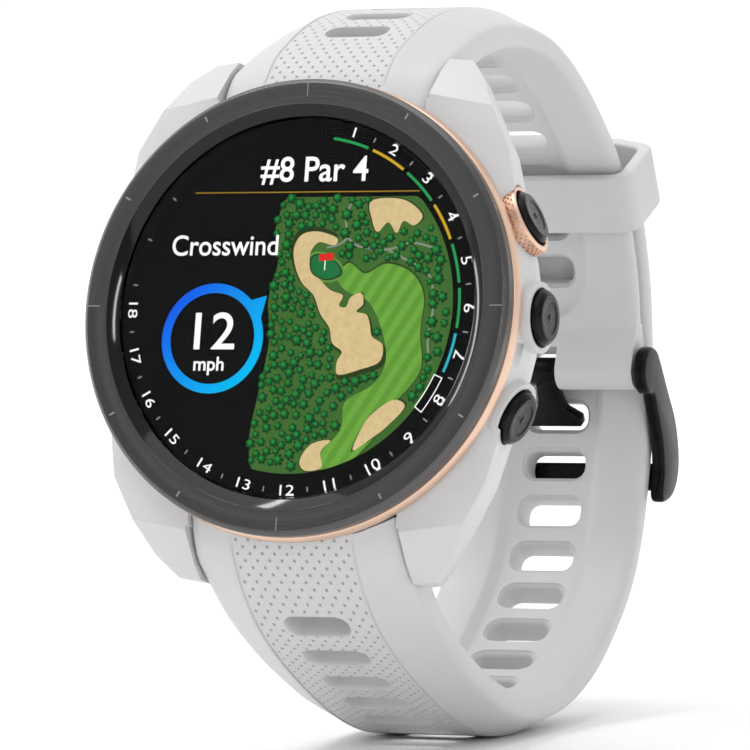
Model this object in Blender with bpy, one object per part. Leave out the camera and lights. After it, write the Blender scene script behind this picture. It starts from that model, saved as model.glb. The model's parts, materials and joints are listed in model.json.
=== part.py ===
"""A golf GPS watch, fastened, standing on its strap: case, buttons, strap, buckle and what the case holds.

Lengths below are millimetres; MM turns them into metres. Each piece is modelled on the watch's own axes
and hangs from an empty that leans them back:

    x  towards the buttons, at 3 o'clock
    y  towards 12 o'clock
    z  out of the dial, zero at the front plane of the bezel
"""

from math import atan2, cos, hypot, pi, radians, sin

import bmesh
import bpy
from mathutils import Matrix, Vector

MM = 0.001
LEAN_BACK_DEG = 12.83
SEGMENTS = 48

# Front of the case, from the bezel down to the case
BEZEL_RADIUS = 21.1
BEZEL_INNER_RADIUS = 17.65
BEZEL_LIP_RADIUS = 18.75
BEZEL_LIP_DEPTH = 0.63
BEZEL_HEIGHT = 1.65
TRIM_RADIUS = 21.35
TRIM_TOP = -1.75
TRIM_BOTTOM = -2.85
LENS_RADIUS = 17.5
LENS_THICKNESS = 0.85
DISPLAY_RADIUS = 16.7
DISPLAY_TOP = -1.62
DISPLAY_THICKNESS = 1.1

# Case
CASE_TOP = -2.95
CASE_BOTTOM = -9.8
CASE_RADIUS = 21.3
CAVITY_RADIUS = 18.6
SHELF_RADIUS = 16.95
SHELF_THICKNESS = 1.0
STRAP_GAP_HALF_WIDTH = 10.65
STRAP_GAP_START = 19.8
LUG_TIP = 24.3
BAR_Y = 22.0
BAR_Z = -8.0
BAR_HOLE_RADIUS = 0.6
BOSS_CIRCLE_RADIUS = 17.2
BOSS_RADIUS = 1.7
SCREW_ANGLES_DEG = (45, 135, 225, 315)

# Rear cover and what is in it
COVER_RADIUS = 20.0
COVER_TOP = -10.2
COVER_BOTTOM = -11.2
SENSOR_RIM_BOTTOM = -12.3
SENSOR_WINDOW_RADIUS = 8.75
SENSOR_WINDOW_BOTTOM = -12.45
CHARGE_PORT_Y = -15.2
CHARGE_CONTACT_PITCH = 1.25

# Buttons: angle from 3 o'clock, and radii measured out from the middle of the watch
BUTTON_ANGLES_DEG = {"upper": 24.5, "middle": 0.0, "lower": -24.5}
BUTTON_Z = -6.5
BUTTON_CAP_RADIUS = 2.5
BUTTON_FACE = 22.8
BUTTON_CAP_BACK = 21.3
BUTTON_STEM_RADIUS = 0.75
BUTTON_STEM_END = 17.1
BUTTON_BORE_RADIUS = 2.75
BUTTON_BORE_FLOOR = 20.1
COLLAR_RADIUS = 3.25
COLLAR_FACE = 21.85
GUARD_FACE = 22.2
GUARD_SEAT = 20.5
BUSH_RADIUS = 1.85
BUSH_INNER_END = 18.0

# Strap, as sections that run along it: (inner z, inner y, edge z, edge y)
STRAP_LUG_HALF_WIDTH = 10.4
STRAP_HALF_WIDTH = 9.9
STRAP_TAPER_END = -26.0
PANEL_HALF_WIDTH = 6.0
CHANNEL_HALF_WIDTH = 4.3
CHANNEL_DEPTH = 0.8
STATION_SPACING = 2.6
SLOT_PITCH = 4.97
SLOT_LENGTH = 6.8
SLOT_HEIGHT = 2.8
SHORT_STRAP_LINE = (
    (-9.7, 20.35, -3.5, 20.35),
    (-10.3, 21.6, -4.6, 21.9),
    (-11.9, 23.1, -7.6, 24.2),
    (-14.0, 24.7, -12.0, 26.9),
    (-17.0, 26.4, -16.2, 29.0),
    (-22.0, 28.3, -21.6, 30.8),
    (-28.5, 29.7, -28.4, 31.9),
    (-34.5, 29.8, -35.0, 31.8),
    (-40.5, 28.2, -41.2, 30.1),
    (-46.5, 25.6, -47.4, 27.3),
    (-51.6, 22.5, -52.9, 23.8),
    (-55.0, 18.0, -56.5, 18.9),
    (-57.9, 12.9, -59.5, 13.6),
    (-59.5, 7.9, -61.2, 8.3),
    (-60.0, 4.6, -61.8, 4.6),
)
LONG_STRAP_LINE = (
    (-9.7, -20.35, -3.5, -20.35),
    (-10.3, -21.4, -4.6, -21.9),
    (-11.5, -22.6, -7.6, -24.0),
    (-14.0, -24.5, -12.4, -27.0),
    (-18.0, -26.7, -17.3, -29.1),
    (-23.0, -28.4, -22.6, -30.8),
    (-30.0, -30.1, -29.8, -32.5),
    (-37.0, -30.7, -37.2, -33.1),
    (-43.0, -30.0, -43.7, -32.2),
    (-49.0, -28.0, -49.9, -29.9),
    (-53.8, -24.9, -55.3, -26.4),
    (-57.9, -20.7, -59.7, -21.9),
    (-61.2, -16.2, -63.2, -17.0),
    (-63.0, -11.3, -65.1, -11.8),
    (-63.8, -5.0, -66.0, -5.1),
    (-63.8, 0.0, -66.0, 0.3),
    (-63.0, 5.0, -65.1, 5.5),
    (-61.9, 10.0, -63.9, 10.6),
    (-60.6, 14.1, -62.4, 14.9),
    (-57.6, 19.6, -59.3, 20.7),
    (-56.4, 21.2, -58.0, 22.4),
)
SHORT_SLOT_START = 7.2
SHORT_SLOT_COUNT = 12
LONG_SLOT_START = 7.4
LONG_SLOT_COUNT = 18

# Keeper, on a straight stretch of the strap
KEEPER_Z = -53.55
KEEPER_Y = 20.3
KEEPER_DIRECTION_DEG = 54.0
KEEPER_LENGTH = 6.0
KEEPER_INNER_OUTLINE = ((10.2, -0.7), (10.2, 5.5), (6.6, 6.8), (-6.6, 6.8), (-10.2, 5.5), (-10.2, -0.7))
KEEPER_OUTER_OUTLINE = (
    (9.6, -1.8),
    (11.2, -1.3),
    (11.6, -0.4),
    (11.6, 6.2),
    (7.0, 8.1),
    (-7.0, 8.1),
    (-11.6, 6.2),
    (-11.6, -0.4),
    (-11.2, -1.3),
    (-9.6, -1.8),
)

# Buckle, all about the pin
PIN_Z = -60.6
PIN_Y = 4.3
PIN_RADIUS = 0.6
PIN_HOLE_RADIUS = 0.7
PIN_HALF_LENGTH = 11.0
STRAP_END_RADIUS = 1.85
NOTCH_HALF_WIDTH = 1.7
ARM_INNER_X = 10.15
ARM_OUTER_X = 11.5
ARM_BOSS_RADIUS = 2.4
PRONG_WIDTHS = ((0.0, 0.95), (3.0, 1.2), (4.1, 1.5), (5.1, 2.95), (6.0, 2.95))
PRONG_THICKNESS = 1.3
PRONG_ANGLE_DEG = 128.0

# Quick-release bars
BAR_TUBE_RADIUS = 0.9
BAR_TUBE_BORE = 0.65
BAR_TIP_RADIUS = 0.5
LEVER_X = 5.4
LEVER_TRAVEL = 1.3

COLOURS = {
    "white_polymer": ((0.80, 0.80, 0.80), 0.42, 0.0),
    "white_silicone": ((0.82, 0.82, 0.82), 0.55, 0.0),
    "grey_ceramic": ((0.10, 0.10, 0.105), 0.28, 0.9),
    "rose_gold": ((0.78, 0.55, 0.42), 0.25, 1.0),
    "black_metal": ((0.025, 0.025, 0.028), 0.30, 0.9),
    "clear_glass": ((0.03, 0.03, 0.035), 0.03, 0.0),
    "display": ((0.01, 0.01, 0.012), 0.20, 0.0),
    "black_rubber": ((0.02, 0.02, 0.02), 0.80, 0.0),
    "steel": ((0.60, 0.60, 0.60), 0.25, 1.0),
    "board_green": ((0.02, 0.16, 0.08), 0.50, 0.0),
    "copper": ((0.72, 0.38, 0.22), 0.30, 1.0),
    "gold": ((0.90, 0.68, 0.30), 0.20, 1.0),
    "battery_foil": ((0.55, 0.56, 0.58), 0.45, 0.8),
    "black_plastic": ((0.03, 0.03, 0.03), 0.50, 0.0),
}


def clear_scene():
    """Removes every object the scene starts with."""
    for thing in list(bpy.data.objects):
        bpy.data.objects.remove(thing, do_unlink=True)


def material(name):
    """The named finish, made on first use."""
    found = bpy.data.materials.get(name)
    if found:
        return found
    colour, roughness, metallic = COLOURS[name]
    made = bpy.data.materials.new(name)
    made.use_nodes = True
    shader = made.node_tree.nodes["Principled BSDF"]
    shader.inputs["Base Color"].default_value = (*colour, 1.0)
    shader.inputs["Roughness"].default_value = roughness
    shader.inputs["Metallic"].default_value = metallic
    made.diffuse_color = (*colour, 1.0)
    return made


def empty(name, parent=None, matrix=None):
    """An empty that holds a group of pieces or a joint's axis."""
    made = bpy.data.objects.new(name, None)
    bpy.context.scene.collection.objects.link(made)
    made.parent = parent
    if matrix is not None:
        made.matrix_local = matrix
    return made


def piece(name, bm, finish, parent, smooth=True):
    """Turns a bmesh in millimetres into a named object under its parent."""
    bmesh.ops.remove_doubles(bm, verts=bm.verts, dist=1e-5)
    bmesh.ops.recalc_face_normals(bm, faces=bm.faces)
    bmesh.ops.triangulate(bm, faces=[face for face in bm.faces if len(face.verts) > 3])
    bmesh.ops.scale(bm, vec=(MM, MM, MM), verts=bm.verts)
    mesh = bpy.data.meshes.new(name)
    bm.to_mesh(mesh)
    bm.free()
    if smooth:
        mesh.shade_smooth()
        mesh.set_sharp_from_angle(angle=radians(35))
    made = bpy.data.objects.new(name, mesh)
    made.data.materials.append(material(finish))
    bpy.context.scene.collection.objects.link(made)
    made.parent = parent
    return made


def helper(name, bm, parent):
    """A piece that only shapes others: it is drawn as a wire and never rendered."""
    made = piece(name, bm, "black_plastic", parent, smooth=False)
    made.hide_render = True
    made.display_type = "WIRE"
    return made


def boolean(target, tool, operation):
    """Cuts the tool from the target, or joins it on."""
    modifier = target.modifiers.new(f"{operation.lower()}_{tool.name}", "BOOLEAN")
    modifier.operation = operation
    modifier.solver = "EXACT"
    modifier.object = tool


def cut(target, tool):
    boolean(target, tool, "DIFFERENCE")


def join(target, tool):
    boolean(target, tool, "UNION")


def turn(bm, profile, closed, segments=SEGMENTS, place=None):
    """Spins a profile of (radius, height) points about z into the bmesh."""
    verts = [bm.verts.new((radius, 0.0, height)) for radius, height in profile]
    edges = [bm.edges.new(pair) for pair in zip(verts, verts[1:])]
    if closed:
        edges.append(bm.edges.new((verts[-1], verts[0])))
    spun = bmesh.ops.spin(
        bm, geom=verts + edges, cent=(0, 0, 0), axis=(0, 0, 1), dvec=(0, 0, 0),
        angle=2 * pi, steps=segments, use_merge=True, use_duplicate=False,
    )
    if place is not None:
        made = set(verts)
        made |= {vert for edge in edges for face in edge.link_faces for vert in face.verts}
        made |= {item for item in spun["geom_last"] if isinstance(item, bmesh.types.BMVert)}
        island = grow(made)
        bmesh.ops.transform(bm, matrix=place, verts=list(island))


def grow(verts):
    """Every vertex joined to these by edges."""
    island = set(verts)
    border = list(verts)
    while border:
        vert = border.pop()
        for edge in vert.link_edges:
            other = edge.other_vert(vert)
            if other not in island:
                island.add(other)
                border.append(other)
    return island


def ring(inner, outer, low, high):
    """The closed profile of a plain ring."""
    return ((inner, low), (outer, low), (outer, high), (inner, high))


def turned(name, profile, finish, parent, closed=True, segments=SEGMENTS):
    """A turned piece; an open profile starts and ends on the axis."""
    bm = bmesh.new()
    turn(bm, profile, closed, segments)
    return piece(name, bm, finish, parent)


def add_cylinder(bm, radius, low, high, place=None, segments=24):
    """A solid cylinder along z between two heights, moved by a matrix."""
    made = bmesh.ops.create_cone(
        bm, cap_ends=True, segments=segments, radius1=radius, radius2=radius, depth=high - low
    )["verts"]
    bmesh.ops.translate(bm, vec=(0, 0, (high + low) / 2), verts=made)
    if place is not None:
        bmesh.ops.transform(bm, matrix=place, verts=made)
    return made


def add_box(bm, low, high):
    """A box between two corners."""
    size = [b - a for a, b in zip(low, high)]
    centre = [(a + b) / 2 for a, b in zip(low, high)]
    made = bmesh.ops.create_cube(bm, size=1.0)["verts"]
    bmesh.ops.scale(bm, vec=size, verts=made)
    bmesh.ops.translate(bm, vec=centre, verts=made)
    return made


def add_prism(bm, outline, low, high, place=None):
    """An outline of (x, y) points extruded along z, moved by a matrix."""
    verts = [bm.verts.new((x, y, low)) for x, y in outline]
    face = bm.faces.new(verts)
    grown = bmesh.ops.extrude_face_region(bm, geom=[face])["geom"]
    top = [item for item in grown if isinstance(item, bmesh.types.BMVert)]
    bmesh.ops.translate(bm, vec=(0, 0, high - low), verts=top)
    if place is not None:
        bmesh.ops.transform(bm, matrix=place, verts=verts + top)
    return verts + top


def add_helix(bm, radius, wire, low, high, turns, sides=6, steps=12):
    """A coil of round wire about z."""
    rings = []
    count = int(turns * steps)
    for index in range(count + 1):
        angle = 2 * pi * index / steps
        height = low + (high - low) * index / count
        points = []
        for side in range(sides):
            tilt = 2 * pi * side / sides
            reach = radius + wire * cos(tilt)
            points.append(bm.verts.new((reach * cos(angle), reach * sin(angle), height + wire * sin(tilt))))
        rings.append(points)
    skin(bm, rings)


def skin(bm, rings):
    """Faces between rings of points one after the other, with both ends closed."""
    for here, there in zip(rings, rings[1:]):
        for index in range(len(here)):
            follow = (index + 1) % len(here)
            bm.faces.new((here[index], here[follow], there[follow], there[index]))
    bm.faces.new(rings[0])
    bm.faces.new(rings[-1])


def radial(angle_deg, height):
    """The axes of a part that points out of the case side: its z runs outwards from the watch's middle."""
    spin = Matrix.Rotation(radians(angle_deg), 4, "Z")
    lay = Matrix.Rotation(pi / 2, 4, "Y")
    return Matrix.Translation((0, 0, height)) @ spin @ lay


def build_front(watch):
    """Bezel, trim ring, lens, its gasket and the display under it."""
    turned(
        "bezel",
        (
            (BEZEL_INNER_RADIUS, -BEZEL_HEIGHT),
            (BEZEL_RADIUS - 0.05, -BEZEL_HEIGHT),
            (BEZEL_RADIUS, -0.45),
            (BEZEL_RADIUS - 0.45, 0.0),
            (BEZEL_LIP_RADIUS, 0.0),
            (BEZEL_INNER_RADIUS, -BEZEL_LIP_DEPTH),
        ),
        "grey_ceramic",
        watch,
    )
    turned(
        "trim_ring",
        (
            (BEZEL_INNER_RADIUS, TRIM_BOTTOM),
            (TRIM_RADIUS, TRIM_BOTTOM),
            (BEZEL_RADIUS, TRIM_TOP),
            (BEZEL_INNER_RADIUS, TRIM_TOP),
        ),
        "rose_gold",
        watch,
    )
    lens_top = -BEZEL_LIP_DEPTH - 0.03
    turned(
        "lens",
        (
            (0.0, lens_top - LENS_THICKNESS),
            (LENS_RADIUS, lens_top - LENS_THICKNESS),
            (LENS_RADIUS, lens_top - 0.15),
            (LENS_RADIUS - 0.15, lens_top),
            (0.0, lens_top),
        ),
        "clear_glass",
        watch,
        closed=False,
    )
    turned(
        "display_panel",
        (
            (0.0, DISPLAY_TOP - DISPLAY_THICKNESS),
            (DISPLAY_RADIUS, DISPLAY_TOP - DISPLAY_THICKNESS),
            (DISPLAY_RADIUS, DISPLAY_TOP),
            (0.0, DISPLAY_TOP),
        ),
        "display",
        watch,
        closed=False,
    )
    turned(
        "lens_gasket",
        ring(DISPLAY_RADIUS + 0.15, LENS_RADIUS, CASE_TOP + 0.06, DISPLAY_TOP),
        "black_rubber",
        watch,
        segments=32,
    )


def lug_outline():
    """One lug seen from the front: (front x, back x, y, front z, back z) at each corner."""
    return (
        (10.4, 10.4, 16.3, -3.1, -9.7),
        (10.4, 10.4, 20.2, -3.2, -9.9),
        (10.4, 10.4, 22.9, -5.6, -10.7),
        (10.5, 10.5, LUG_TIP, -7.4, -10.3),
        (12.9, 12.3, LUG_TIP - 0.2, -7.6, -10.2),
        (14.7, 13.6, 22.2, -5.9, -10.4),
        (16.5, 15.2, 19.2, -4.2, -10.1),
        (18.6, 17.3, 15.2, -3.9, -9.7),
        (19.7, 18.9, 9.6, -4.4, -9.6),
        (16.8, 16.8, 9.6, -3.1, -9.6),
        (13.7, 13.7, 13.9, -3.1, -9.6),
    )


def lug_blanks(watch):
    """The four lugs, each mirrored from one, as one tool that joins the case."""
    bm = bmesh.new()
    for side_x in (1, -1):
        for side_y in (1, -1):
            rings = []
            for across, height in ((1, 4), (0, 3)):
                rings.append([
                    bm.verts.new((side_x * corner[across], side_y * corner[2], corner[height]))
                    for corner in lug_outline()
                ])
            skin(bm, rings)
    return helper("lug_blanks", bm, watch)


def button_tools(watch):
    """Collars to join round two buttons, the guard's seat round the third, and the stepped bores of all three."""
    collars = bmesh.new()
    seat = bmesh.new()
    bores = bmesh.new()
    bore_profile = (
        (0.0, BUSH_INNER_END - 1.4),
        (BUSH_RADIUS + 0.08, BUSH_INNER_END - 1.4),
        (BUSH_RADIUS + 0.08, BUTTON_BORE_FLOOR),
        (BUTTON_BORE_RADIUS, BUTTON_BORE_FLOOR),
        (BUTTON_BORE_RADIUS, 24.0),
        (0.0, 24.0),
    )
    for name, angle in BUTTON_ANGLES_DEG.items():
        place = radial(angle, BUTTON_Z)
        if name == "upper":
            add_cylinder(seat, COLLAR_RADIUS + 0.05, GUARD_SEAT, 24.0, place, segments=32)
        else:
            add_cylinder(collars, COLLAR_RADIUS, 19.6, COLLAR_FACE, place, segments=32)
        turn(bores, bore_profile, False, segments=24, place=place)
    return (
        helper("button_collars", collars, watch),
        helper("guard_seat", seat, watch),
        helper("button_bores", bores, watch),
    )


def build_case(watch):
    """The mid-case: a hollow ring with four lugs, button collars and screw bosses."""
    case = turned(
        "case_body",
        (
            (SHELF_RADIUS, CASE_TOP - SHELF_THICKNESS),
            (SHELF_RADIUS, CASE_TOP),
            (CASE_RADIUS - 0.5, CASE_TOP),
            (CASE_RADIUS - 0.1, -4.8),
            (CASE_RADIUS, -6.6),
            (CASE_RADIUS - 0.3, -8.6),
            (CASE_RADIUS - 0.9, CASE_BOTTOM),
            (CAVITY_RADIUS, CASE_BOTTOM),
            (CAVITY_RADIUS, CASE_TOP - SHELF_THICKNESS),
        ),
        "white_polymer",
        watch,
    )
    join(case, lug_blanks(watch))
    collars, guard_seat, bores = button_tools(watch)
    join(case, collars)

    bosses = bmesh.new()
    for angle in SCREW_ANGLES_DEG:
        place = Matrix.Rotation(radians(angle), 4, "Z") @ Matrix.Translation((BOSS_CIRCLE_RADIUS, 0, 0))
        add_cylinder(bosses, BOSS_RADIUS, -9.75, -6.6, place, segments=16)
    join(case, helper("screw_bosses", bosses, watch))

    pockets = bmesh.new()
    for side in (1, -1):
        near, far = sorted((side * STRAP_GAP_START, side * 30.0))
        add_box(pockets, (-STRAP_GAP_HALF_WIDTH, near, -14.0), (STRAP_GAP_HALF_WIDTH, far, -2.0))
    cut(case, helper("strap_pockets", pockets, watch))

    cut(case, guard_seat)
    cut(case, bores)

    holes = bmesh.new()
    for side in (1, -1):
        place = Matrix.Translation((0, side * BAR_Y, BAR_Z)) @ Matrix.Rotation(pi / 2, 4, "Y")
        add_cylinder(holes, BAR_HOLE_RADIUS, -11.9, 11.9, place, segments=16)
    cut(case, helper("bar_holes", holes, watch))

    threads = bmesh.new()
    for angle in SCREW_ANGLES_DEG:
        place = Matrix.Rotation(radians(angle), 4, "Z") @ Matrix.Translation((BOSS_CIRCLE_RADIUS, 0, 0))
        add_cylinder(threads, 0.75, -10.5, -7.3, place, segments=12)
    cut(case, helper("screw_holes", threads, watch))


def sector(bm, inner, outer, start_deg, stop_deg, low, high, steps=9):
    """A block between two radii and two angles."""
    angles = [radians(start_deg + (stop_deg - start_deg) * index / steps) for index in range(steps + 1)]
    outline = [(outer * cos(a), outer * sin(a)) for a in angles]
    outline += [(inner * cos(a), inner * sin(a)) for a in reversed(angles)]
    add_prism(bm, outline, low, high)


def build_rear(watch):
    """Rear cover, its gasket and screws, the sensor window and the charging socket."""
    cover = turned(
        "rear_cover",
        (
            (6.5, COVER_TOP),
            (COVER_RADIUS, COVER_TOP),
            (COVER_RADIUS, COVER_TOP - 0.5),
            (COVER_RADIUS - 0.6, COVER_BOTTOM),
            (12.4, COVER_BOTTOM),
            (11.0, SENSOR_RIM_BOTTOM),
            (SENSOR_WINDOW_RADIUS + 0.15, SENSOR_RIM_BOTTOM),
            (SENSOR_WINDOW_RADIUS + 0.15, -11.45),
            (6.5, -11.45),
        ),
        "white_polymer",
        watch,
    )
    turned(
        "rear_gasket",
        ring(18.8, 19.5, COVER_TOP + 0.05, CASE_BOTTOM - 0.05),
        "black_rubber",
        watch,
        segments=32,
    )
    turned(
        "sensor_window",
        (
            (0.0, SENSOR_WINDOW_BOTTOM),
            (7.6, SENSOR_WINDOW_BOTTOM),
            (SENSOR_WINDOW_RADIUS, SENSOR_WINDOW_BOTTOM + 0.25),
            (SENSOR_WINDOW_RADIUS, -11.55),
            (0.0, -11.55),
        ),
        "clear_glass",
        watch,
        closed=False,
        segments=32,
    )
    turned(
        "sensor_board",
        ((0.0, -10.1), (7.8, -10.1), (7.8, -9.55), (0.0, -9.55)),
        "board_green",
        watch,
        closed=False,
        segments=24,
    )

    holes = bmesh.new()
    for number, angle in enumerate(SCREW_ANGLES_DEG, 1):
        place = Matrix.Rotation(radians(angle), 4, "Z") @ Matrix.Translation((BOSS_CIRCLE_RADIUS, 0, 0))
        turn(
            holes,
            ((0, -12.0), (1.4, -12.0), (1.4, -10.75), (0.8, -10.75), (0.8, -9.5), (0, -9.5)),
            False,
            segments=12,
            place=place,
        )
        screw = turned(
            f"rear_screw_{number}",
            (
                (0.0, -11.0),
                (0.45, -11.0),
                (0.45, -11.15),
                (1.25, -11.15),
                (1.25, -10.85),
                (0.65, -10.8),
                (0.65, -7.5),
                (0.0, -7.5),
            ),
            "steel",
            watch,
            closed=False,
            segments=12,
        )
        screw.location = (
            BOSS_CIRCLE_RADIUS * cos(radians(angle)) * MM,
            BOSS_CIRCLE_RADIUS * sin(radians(angle)) * MM,
            0.0,
        )
    cut(cover, helper("cover_holes", holes, watch))

    slot = bmesh.new()
    add_box(slot, (-3.3, CHARGE_PORT_Y - 1.6, -12.0), (3.3, CHARGE_PORT_Y + 1.6, -9.5))
    cut(cover, helper("port_opening", slot, watch))
    port = bmesh.new()
    add_box(port, (-3.1, CHARGE_PORT_Y - 1.4, -11.05), (3.1, CHARGE_PORT_Y + 1.4, -9.9))
    port_body = piece("charge_port", port, "black_plastic", watch, smooth=False)
    pits = bmesh.new()
    for index in range(4):
        offset = (index - 1.5) * CHARGE_CONTACT_PITCH
        place = Matrix.Translation((offset, CHARGE_PORT_Y, 0))
        add_cylinder(pits, 0.45, -11.5, -9.0, place, segments=10)
        contact = bmesh.new()
        add_cylinder(contact, 0.35, -10.95, -9.5, segments=10)
        pin = piece(f"charge_contact_{index + 1}", contact, "gold", watch)
        pin.location = (offset * MM, CHARGE_PORT_Y * MM, 0.0)
    cut(port_body, helper("contact_holes", pits, watch))


def build_inside(watch):
    """Board, shield, battery, antenna and vibration motor."""
    turned(
        "main_board",
        ((0.0, -5.9), (16.2, -5.9), (16.2, -5.1), (0.0, -5.1)),
        "board_green",
        watch,
        closed=False,
        segments=32,
    )
    can = bmesh.new()
    add_box(can, (-6.0, -5.0, -5.0), (5.0, 5.5, -3.7))
    piece("shield_can", can, "steel", watch, smooth=False)
    turned(
        "battery",
        ((0.0, -9.3), (11.6, -9.3), (11.9, -9.0), (11.9, -6.9), (11.6, -6.6), (0.0, -6.6)),
        "battery_foil",
        watch,
        closed=False,
        segments=32,
    )
    antenna = bmesh.new()
    sector(antenna, 16.95, 17.85, 0, 330, -4.75, -4.15, steps=26)
    piece("gps_antenna", antenna, "copper", watch)
    motor = turned(
        "vibration_motor",
        ((0.0, -9.3), (2.8, -9.3), (2.8, -6.7), (0.0, -6.7)),
        "steel",
        watch,
        closed=False,
        segments=16,
    )
    motor.location = (-15.2 * MM, 0.0, 0.0)


def build_button(watch, name, angle):
    """One button on its own axis: cap and stem, clip, seal, spring, bush and the switch it works."""
    axis = empty(f"{name}_button_axis", watch, scaled(radial(angle, BUTTON_Z)))
    turned(
        f"{name}_button",
        (
            (0.0, BUTTON_STEM_END),
            (BUTTON_STEM_RADIUS, BUTTON_STEM_END),
            (BUTTON_STEM_RADIUS, BUTTON_CAP_BACK),
            (BUTTON_CAP_RADIUS, BUTTON_CAP_BACK),
            (BUTTON_CAP_RADIUS, BUTTON_FACE - 0.3),
            (BUTTON_CAP_RADIUS - 0.3, BUTTON_FACE),
            (0.0, BUTTON_FACE),
        ),
        "black_metal",
        axis,
        closed=False,
        segments=24,
    )
    turned(
        f"{name}_button_bush",
        (
            (0.85, BUSH_INNER_END),
            (BUSH_RADIUS, BUSH_INNER_END),
            (BUSH_RADIUS, BUTTON_BORE_FLOOR - 0.1),
            (1.5, BUTTON_BORE_FLOOR - 0.1),
            (1.5, 19.0),
            (0.85, 19.0),
        ),
        "steel",
        axis,
        segments=16,
    )
    seal = bmesh.new()
    circle = [(1.14 + 0.27 * cos(2 * pi * i / 6), 19.4 + 0.27 * sin(2 * pi * i / 6)) for i in range(6)]
    turn(seal, circle, True, segments=16)
    piece(f"{name}_button_seal", seal, "black_rubber", axis)
    turned(f"{name}_button_clip", ring(0.83, 1.5, 17.55, 17.85), "steel", axis, segments=12)
    coil = bmesh.new()
    add_helix(coil, 1.7, 0.14, BUTTON_BORE_FLOOR + 0.2, BUTTON_CAP_BACK - 0.2, turns=2.0)
    piece(f"{name}_button_spring", coil, "steel", axis)
    switch = bmesh.new()
    add_box(switch, (-0.3, -1.6, 14.2), (0.55, 1.6, 16.15))
    piece(f"{name}_switch", switch, "black_plastic", axis, smooth=False)
    if name == "upper":
        turned(
            "upper_button_guard",
            ring(BUTTON_BORE_RADIUS, COLLAR_RADIUS - 0.05, GUARD_SEAT + 0.1, GUARD_FACE),
            "rose_gold",
            axis,
            segments=32,
        )


def scaled(matrix):
    """The same placing, with its shift in metres."""
    made = matrix.copy()
    made.translation = matrix.translation * MM
    return made


def smooth_line(points, spacing):
    """Evenly spaced points on a smooth curve through the given ones, for tuples of any length."""
    dense = []
    padded = [points[0], *points, points[-1]]
    for before, start, stop, after in zip(padded, padded[1:], padded[2:], padded[3:]):
        for step in range(12):
            t = step / 12
            dense.append(tuple(
                0.5 * (2 * b + (c - a) * t + (2 * a - 5 * b + 4 * c - d) * t * t
                       + (3 * b - a - 3 * c + d) * t ** 3)
                for a, b, c, d in zip(before, start, stop, after)
            ))
    dense.append(tuple(points[-1]))
    return evenly(dense, spacing)


def middle(station):
    """The point halfway through the strap at a station, as (z, y)."""
    return (station[0] + station[2]) / 2, (station[1] + station[3]) / 2


def evenly(dense, spacing):
    """Stations at equal distances along the strap's middle."""
    lengths = [0.0]
    for here, there in zip(dense, dense[1:]):
        (z0, y0), (z1, y1) = middle(here), middle(there)
        lengths.append(lengths[-1] + hypot(z1 - z0, y1 - y0))
    count = round(lengths[-1] / spacing)
    return [station_at(dense, lengths, lengths[-1] * index / count) for index in range(count + 1)]


def station_at(dense, lengths, distance):
    """The station at a distance along the strap."""
    for index in range(1, len(lengths)):
        if lengths[index] >= distance:
            break
    share = (distance - lengths[index - 1]) / (lengths[index] - lengths[index - 1])
    return tuple(a + (b - a) * share for a, b in zip(dense[index - 1], dense[index]))


def half_width(z):
    """The strap's half width, narrowing behind the lugs."""
    share = min(1.0, max(0.0, (z + 10.0) / (STRAP_TAPER_END + 10.0)))
    return STRAP_LUG_HALF_WIDTH + (STRAP_HALF_WIDTH - STRAP_LUG_HALF_WIDTH) * share


def strap_section(bm, station, crown, channel):
    """One closed section across the strap: a channel inside, a raised panel outside."""
    inner_z, inner_y, edge_z, edge_y = station
    thickness = hypot(edge_z - inner_z, edge_y - inner_y)
    out_z, out_y = (edge_z - inner_z) / thickness, (edge_y - inner_y) / thickness
    width = half_width((inner_z + edge_z) / 2)
    outline = (
        (-width, 0.25),
        (-width + 0.3, 0.0),
        (-PANEL_HALF_WIDTH, 0.0),
        (-CHANNEL_HALF_WIDTH, channel),
        (CHANNEL_HALF_WIDTH, channel),
        (PANEL_HALF_WIDTH, 0.0),
        (width - 0.3, 0.0),
        (width, 0.25),
        (width, thickness),
        (PANEL_HALF_WIDTH, thickness + crown),
        (-PANEL_HALF_WIDTH, thickness + crown),
        (-width, thickness),
    )
    return [bm.verts.new((x, inner_y + out_y * h, inner_z + out_z * h)) for x, h in outline]


def strap_band(name, line, crown_ends, channel_end, parent):
    """A strap half lofted through its sections."""
    bm = bmesh.new()
    stations = smooth_line(line, STATION_SPACING)
    rings = []
    for index, station in enumerate(stations):
        share = index / (len(stations) - 1)
        crown = crown_ends[0] + (crown_ends[1] - crown_ends[0]) * share
        rise = min(1.0, max(0.0, (share - 0.06) / 0.08))
        fall = min(1.0, max(0.0, (channel_end - share) / 0.04))
        channel = CHANNEL_DEPTH * min(rise, fall)
        if index < 2:
            crown *= (0.15, 0.5)[index]
        rings.append(strap_section(bm, station, crown, channel))
    skin(bm, rings)
    return piece(name, bm, "white_silicone", parent)


def slot_outline(length, height, steps=4):
    """A slot with round ends."""
    radius = height / 2
    reach = length / 2 - radius
    outline = []
    for side, start in ((1, -pi / 2), (-1, pi / 2)):
        for index in range(steps + 1):
            angle = start + pi * index / steps
            outline.append((side * reach + radius * cos(angle), radius * sin(angle)))
    return outline


def strap_place(line, distance):
    """Axes at a distance along the strap: x across it, y along it, z out of it."""
    stations = smooth_line(line, 0.5)
    total = 0.0
    for here, there in zip(stations, stations[1:]):
        (z0, y0), (z1, y1) = middle(here), middle(there)
        step = hypot(z1 - z0, y1 - y0)
        if total + step >= distance:
            break
        total += step
    along = Vector((0, y1 - y0, z1 - z0)).normalized()
    across = Vector((1, 0, 0))
    out = across.cross(along)
    place = Matrix((across, along, out)).transposed().to_4x4()
    place.translation = Vector((0, y0, z0))
    return place


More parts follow.
